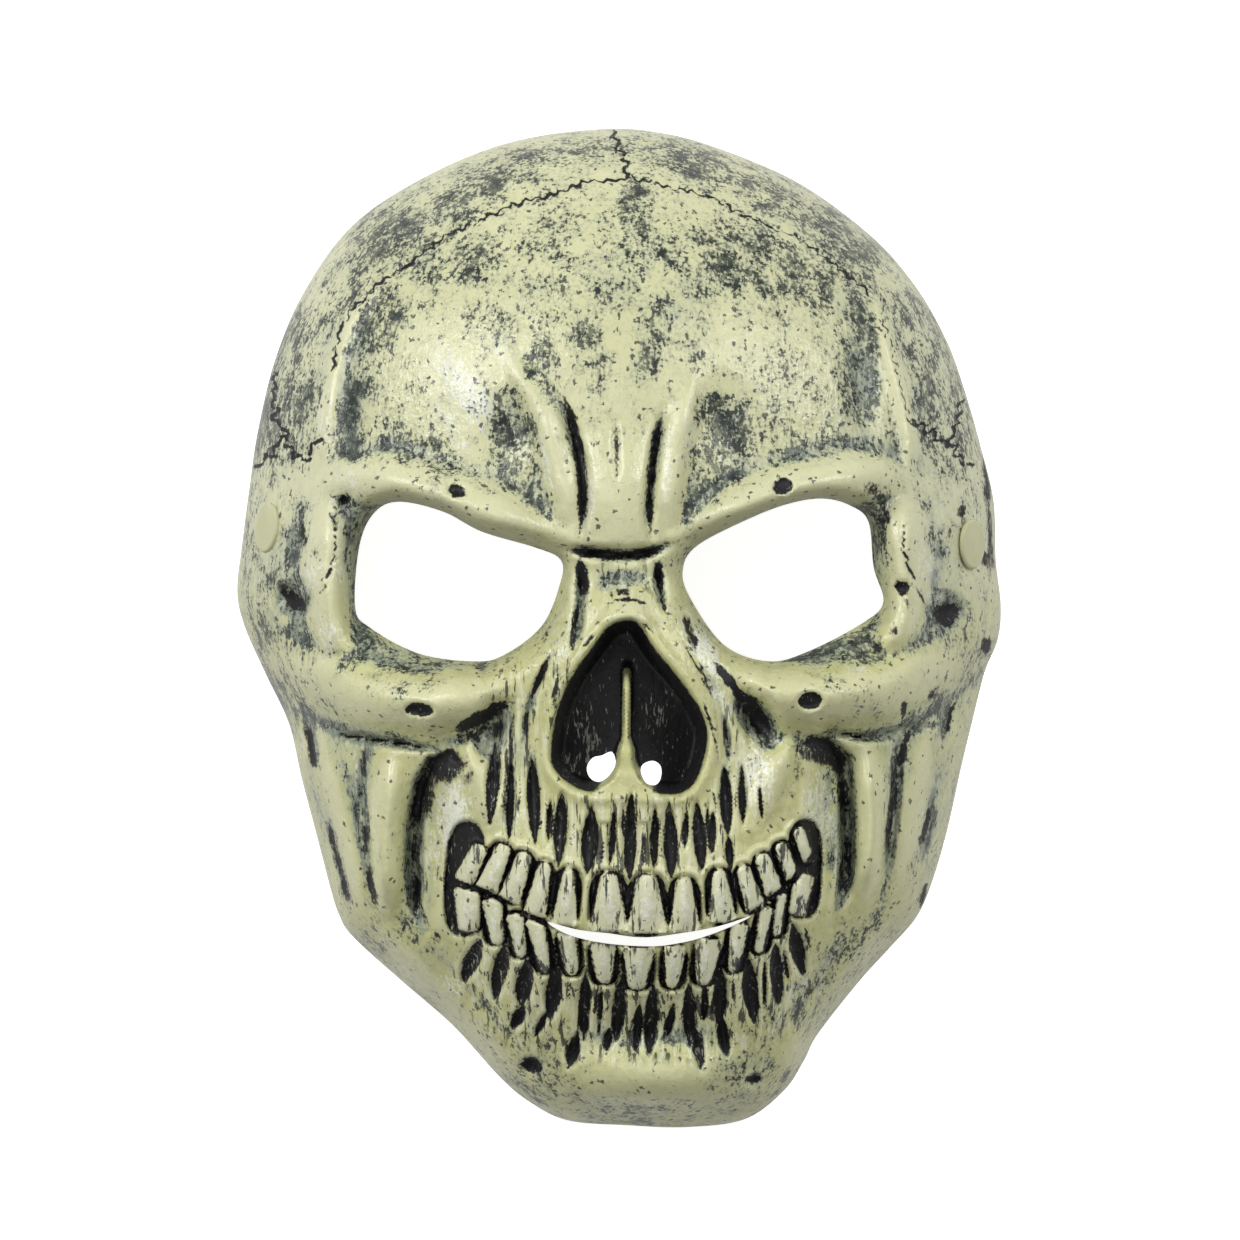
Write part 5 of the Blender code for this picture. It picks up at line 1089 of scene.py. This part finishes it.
def shell_piece():
    outline = rounded_loop(OUTLINE, OUTLINE_POINTS)
    middle = (outline.min(axis=0) + outline.max(axis=0)) / 2
    eyes = [rounded_loop(EYE_LEFT, 1.0), rounded_loop(EYE_RIGHT, 1.0)]
    nostrils = [rounded_loop(NOSTRIL_LEFT, 26), rounded_loop(NOSTRIL_RIGHT, 26)]
    holes = eyes + nostrils + [rounded_loop(MOUTH_SLIT, 90)]
    rings = [ring_in(outline, angle) for angle in SHEET_RINGS]
    scatter = lattice(FACE_STEP, MOUTH_STEP)
    outer, outer_faces = sheet([outline] + holes, beside_cracks() + rings, scatter, 0.42, 6.0)
    edge = moved_in(outline, WALL)
    rings = [moved_in(edge, inward) for inward in INNER_RINGS]
    scatter = lattice(LINING_STEP, LINING_FINE_STEP)
    inner, inner_faces = sheet([edge] + holes, rings, scatter, 0.9, 9.8)

    top = sculpted(outer[:, 0], outer[:, 1])
    top[: len(outline)] = rim_level(outline[:, 1])
    under = lining(inner[:, 0], inner[:, 1])
    under[: len(outline)] = rim_level(outline[:, 1])
    points = np.vstack([np.column_stack([outer, top]), np.column_stack([inner, under])])
    points[:, :2] -= middle
    shift = len(outer)
    walls = []
    start = 0
    for loop in [outline] + holes:
        count = len(loop)
        for i in range(count):
            a = start + i
            b = start + (i + 1) % count
            walls.append((a, b, shift + b))
            walls.append((a, shift + b, shift + a))
        start += count
    faces = np.vstack([outer_faces, shift + inner_faces[:, ::-1], np.array(walls)])
    mesh = bpy.data.meshes.new("mask_face")
    mesh.from_pydata((points * MM).tolist(), [], faces.tolist())
    kinds = np.zeros(len(faces), np.int32)
    kinds[len(outer_faces) :] = 1
    for name, values in paint(outer[:, 0], outer[:, 1]).items():
        layer = mesh.attributes.new(name, "FLOAT", "POINT")
        both = np.zeros(len(points), np.float32)
        both[:shift] = values
        layer.data.foreach_set("value", both)
    mesh.polygons.foreach_set("material_index", kinds)
    mesh.polygons.foreach_set("use_smooth", np.ones(len(faces), bool))
    mesh.update()
    obj = bpy.data.objects.new("mask_face", mesh)
    bpy.context.scene.collection.objects.link(obj)
    facing_up = mesh.polygons[0].normal.z > 0
    if not facing_up:
        mesh.flip_normals()
    mesh.set_sharp_from_angle(angle=math.radians(SHARP_EDGE))
    return obj


def plug(socket, value):
    """Links a socket to another one, or sets its value."""
    if isinstance(value, bpy.types.NodeSocket):
        socket.id_data.links.new(value, socket)
    else:
        socket.default_value = value


def node(tree, kind, settings=(), **values):
    """A shader node with its settings and its inputs, named as they are or i and their number."""
    made = tree.nodes.new(kind)
    for name, value in dict(settings).items():
        setattr(made, name, value)
    for name, value in values.items():
        plug(made.inputs[int(name[1:]) if name[1:].isdigit() else name], value)
    return made


def maths(operation, a, b):
    """A sum of two values, at least one of them a socket."""
    tree = next(value.id_data for value in (a, b) if isinstance(value, bpy.types.NodeSocket))
    return node(tree, "ShaderNodeMath", {"operation": operation}, i0=a, i1=b).outputs[0]


def plus(a, b):
    return maths("ADD", a, b)


def minus(a, b):
    return maths("SUBTRACT", a, b)


def times(a, b):
    return maths("MULTIPLY", a, b)


def swing(value, amount):
    """A noise turned to swing about zero, that much each way."""
    return times(minus(value, 0.5), amount)


def weighed(first, *others):
    """The sum of values, each times its weight."""
    total = times(*first)
    for value, weight in others:
        total = plus(total, times(value, weight))
    return total


def noise(place, scale, detail, roughness):
    values = {"Scale": scale, "Detail": detail, "Roughness": roughness}
    made = node(place.id_data, "ShaderNodeTexNoise", {"noise_dimensions": "3D"}, Vector=place, **values)
    return made.outputs["Fac"]


def step_up(value, low, high):
    """Zero below low, one above high, smooth between. Either end may be a socket."""
    settings = {"interpolation_type": "SMOOTHSTEP"}
    return node(value.id_data, "ShaderNodeMapRange", settings, i0=value, i1=low, i2=high).outputs[0]


def blended(share, a, b):
    """A colour between two others, each a socket or red, green and blue."""
    a, b = ((*colour, 1.0) if isinstance(colour, tuple) else colour for colour in (a, b))
    return node(share.id_data, "ShaderNodeMix", {"data_type": "RGBA"}, i0=share, i6=a, i7=b).outputs[2]


def leaning(place, right, turns, squash, *grain):
    """Noise drawn out along lines that lean one way left on the face and the other way right."""
    ways = [noise(stretched(place, turn, (1.0, squash, 1.0)), *grain) for turn in turns]
    return node(place.id_data, "ShaderNodeMix", i0=right, i2=ways[0], i3=ways[1]).outputs[0]


def new_material(name, roughness):
    material = bpy.data.materials.new(name)
    material.use_nodes = True
    tree = material.node_tree
    shader = tree.nodes["Principled BSDF"]
    shader.inputs["Roughness"].default_value = roughness
    return material, tree, shader


def object_place(tree):
    return tree.nodes.new("ShaderNodeTexCoord").outputs["Object"]


def stretched(place, turn, scale):
    values = {"Vector": place, "Rotation": (0.0, 0.0, math.radians(turn)), "Scale": scale}
    return node(place.id_data, "ShaderNodeMapping", **values).outputs[0]


def bone_paint():
    """Cream plastic under a thin grey-green wash, dark speckle and black paint left in the hollows."""
    material, tree, shader = new_material("bone_paint", 0.4)
    place = object_place(tree)
    layers = {}
    for name in ("ink", "speckle", "wash", "clean", "gum", "dry", "white", "pale"):
        read = node(tree, "ShaderNodeAttribute", {"attribute_name": name})
        layers[name] = read.outputs["Fac"]

    fine = noise(place, 1050.0, 4.0, 0.62)
    cluster = noise(place, 330.0, 3.0, 0.6)
    broad = noise(place, 95.0, 3.0, 0.55)
    slow = noise(place, 34.0, 2.0, 0.5)
    grain = noise(place, 2600.0, 2.0, 0.5)
    right = step_up(node(tree, "ShaderNodeSeparateXYZ", i0=place).outputs[0], -0.02, 0.02)
    hatch = leaning(place, right, (-38.0, 34.0), 0.34, 1000.0, 4.0, 0.65)
    clump = leaning(place, right, (-30.0, 30.0), 0.55, 185.0, 2.0, 0.5)
    streak = noise(stretched(place, 0.0, (1.0, 0.12, 0.5)), 640.0, 4.0, 0.6)
    fleck = noise(stretched(place, 20.0, (1.0, 0.6, 1.0)), 430.0, 3.0, 0.6)
    scratch = noise(stretched(place, 8.0, (1.0, 0.25, 1.0)), 1500.0, 3.0, 0.6)
    cells = node(tree, "ShaderNodeTexVoronoi", Vector=place, Scale=290.0)

    # The plastic: cream of uneven tone, paler towards the sides and where the relief is rubbed,
    # and paler above and on the teeth as painted sheen and highlight.
    colour = blended(step_up(slow, 0.35, 0.65), CREAM_LOW, CREAM_HIGH)
    colour = blended(step_up(cluster, 0.4, 0.7), colour, CREAM_SHADE)
    colour = blended(times(layers["pale"], 0.8), colour, CREAM_PALE_AND_SHEEN)
    colour = blended(times(layers["clean"], 0.55), colour, CREAM_RUBBED)

    # The wash, thin and then deep, and white over it: dry brushing, and painted highlight and sheen.
    thin = step_up(plus(plus(layers["wash"], swing(broad, 1.1)), swing(hatch, 0.7)), 0.12, 0.75)
    colour = blended(times(thin, 0.5), colour, WASH_THIN)
    deep = step_up(plus(thin, minus(fleck, 0.5)), 0.8, 1.05)
    colour = blended(times(deep, 0.6), colour, WASH_DEEP)
    brush_and_highlight = plus(swing(weighed((hatch, 0.5), (fine, 0.5)), 1.8), times(layers["white"], 0.38))
    colour = blended(times(step_up(brush_and_highlight, 0.13, 0.36), 0.85), colour, WHITE_BRUSH_AND_HIGHLIGHT)

    # The speckle: spots in clumps, each with a grey edge, then pores and larger blots.
    mixed = weighed((fine, 0.4), (hatch, 0.4), (cluster, 0.2))
    mixed = plus(mixed, plus(swing(broad, 0.16), swing(clump, 0.3)))
    least = minus(0.67, times(layers["speckle"], 0.175))
    spots = step_up(mixed, least, plus(least, 0.06))
    halo = step_up(mixed, minus(least, 0.09), plus(least, 0.03))
    colour = blended(times(halo, 0.36), colour, SPOT_EDGE)
    thick = plus(0.62, times(step_up(cluster, 0.36, 0.62), 0.36))
    colour = blended(times(spots, thick), colour, SPOT)
    blots = step_up(plus(fleck, times(layers["speckle"], 0.09)), 0.7, 0.73)
    pores = maths("MAXIMUM", step_up(minus(times(fine, 0.9), cells.outputs[0]), 0.29, 0.34), blots)
    colour = blended(times(pores, 0.85), colour, PORE)

    # Painted highlight streaks and dark streaks along the gums and the roots of the teeth.
    on_gums = step_up(layers["gum"], 0.05, 0.5)
    gleam = times(step_up(streak, 0.46, 0.36), on_gums)
    colour = blended(times(gleam, 0.6), colour, STREAK_HIGHLIGHT)
    lines = times(step_up(plus(streak, times(layers["gum"], 0.08)), 0.6, 0.65), on_gums)
    colour = blended(times(lines, 0.88), colour, STREAK_DARK)

    # Black in the hollows, with ragged edges and a few scratches rubbed through it.
    ragged = plus(swing(mixed, 2.2), times(minus(streak, 0.5), times(layers["gum"], 2.6)))
    dark = step_up(plus(layers["ink"], ragged), 0.3, 0.72)
    dark = times(dark, step_up(layers["ink"], 0.02, 0.16))
    rubbed = step_up(plus(scratch, times(layers["dry"], 0.2)), 0.68, 0.76)
    colour = blended(dark, colour, blended(times(rubbed, 0.9), SOOT, SOOT_RUBBED))

    plug(shader.inputs["Base Color"], colour)
    plug(shader.inputs["Roughness"], plus(plus(0.17, times(fine, 0.16)), times(dark, 0.34)))
    relief = weighed((spots, -0.55), (hatch, 0.8), (cluster, 1.3), (grain, 0.25))
    bump = node(tree, "ShaderNodeBump", Strength=0.5, Distance=0.0005, Height=relief)
    plug(shader.inputs["Normal"], bump.outputs[0])
    return material


def bare_plastic(name, low, high, roughness):
    """Moulded plastic without paint: slow change of tone, fine grain and a few scuffs."""
    material, tree, shader = new_material(name, roughness)
    place = object_place(tree)
    slow = noise(place, 60.0, 3.0, 0.55)
    grain = noise(place, 1500.0, 3.0, 0.6)
    scuffs = noise(stretched(place, 25.0, (1.0, 0.2, 1.0)), 700.0, 3.0, 0.6)
    colour = blended(step_up(slow, 0.35, 0.65), low, high)
    colour = blended(times(step_up(scuffs, 0.6, 0.7), 0.3), colour, tuple(0.6 * c for c in low))
    plug(shader.inputs["Base Color"], colour)
    plug(shader.inputs["Roughness"], plus(roughness - 0.06, times(grain, 0.12)))
    relief = plus(grain, times(slow, 2.0))
    bump = node(tree, "ShaderNodeBump", Strength=0.35, Distance=0.0003, Height=relief)
    plug(shader.inputs["Normal"], bump.outputs[0])
    return material


def floor_material():
    """A white that glows to the camera alone, so that the floor shows pale and plain."""
    material, tree, shader = new_material("white_floor", 0.8)
    shader.inputs["Base Color"].default_value = (0.75, 0.75, 0.75, 1.0)
    shader.inputs["Specular IOR Level"].default_value = 0.0
    shader.inputs["Emission Color"].default_value = (1.0, 1.0, 1.0, 1.0)
    seen = tree.nodes.new("ShaderNodeLightPath").outputs["Is Camera Ray"]
    unseen, shown = FLOOR_GLOW
    glow = node(tree, "ShaderNodeMapRange", i0=seen, i1=0.0, i2=1.0, i3=unseen, i4=shown)
    plug(shader.inputs["Emission Strength"], glow.outputs[0])
    return material


def soft_light(row):
    lamp = bpy.data.lights.new(row.name, "AREA")
    lamp.shape = "DISK"
    lamp.size = row.size
    lamp.energy = row.power
    obj = bpy.data.objects.new(row.name, lamp)
    obj.location = row.place
    obj.rotation_euler = (Vector(row.aim) - Vector(row.place)).to_track_quat("-Z", "Y").to_euler()
    bpy.context.scene.collection.objects.link(obj)


def studio():
    """A plain white floor just under the mask, soft lights and a dim even room."""
    mesh = bpy.data.meshes.new("floor")
    half = FLOOR_SIZE / 2
    corners = [(-half, -half, 0), (half, -half, 0), (half, half, 0), (-half, half, 0)]
    mesh.from_pydata(corners, [], [(0, 1, 2, 3)])
    floor = bpy.data.objects.new("floor", mesh)
    floor.location = (0.0, 0.0, CAD_BOX[0].z - FLOOR_GAP)
    mesh.materials.append(floor_material())
    bpy.context.scene.collection.objects.link(floor)
    for row in LIGHTS:
        soft_light(row)
    world = bpy.data.worlds.new("soft_room")
    bpy.context.scene.world = world
    world.use_nodes = True
    background = world.node_tree.nodes["Background"]
    background.inputs[0].default_value = (1.0, 1.0, 1.0, 1.0)
    background.inputs[1].default_value = ROOM_LIGHT
    bpy.context.scene.view_settings.view_transform = "Standard"


def photo_camera():
    """Straight above the face, far off, framed as the photograph is."""
    aim = Vector(CAMERA_AIM)
    lens = bpy.data.cameras.new("photo_camera")
    lens.lens = 36.0 * CAMERA_AWAY / PHOTO_SPAN
    lens.clip_start = 0.1
    lens.clip_end = 200.0
    obj = bpy.data.objects.new("photo_camera", lens)
    obj.location = aim + Vector((0.0, 0.0, CAMERA_AWAY))
    bpy.context.scene.collection.objects.link(obj)
    bpy.context.scene.camera = obj


shell = shell_piece()
shell.data.materials.append(bone_paint())
shell.data.materials.append(bare_plastic("lining_plastic", *LINING_COLOURS, 0.5))
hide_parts("mask_shell")
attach(shell, "root")
rivet_plastic = bare_plastic("rivet_plastic_looks", *RIVET_COLOURS, 0.4)
for name in ("strap_rivet_left", "strap_rivet_right"):
    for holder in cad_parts[name].material_slots:
        holder.material = rivet_plastic
studio()
photo_camera()
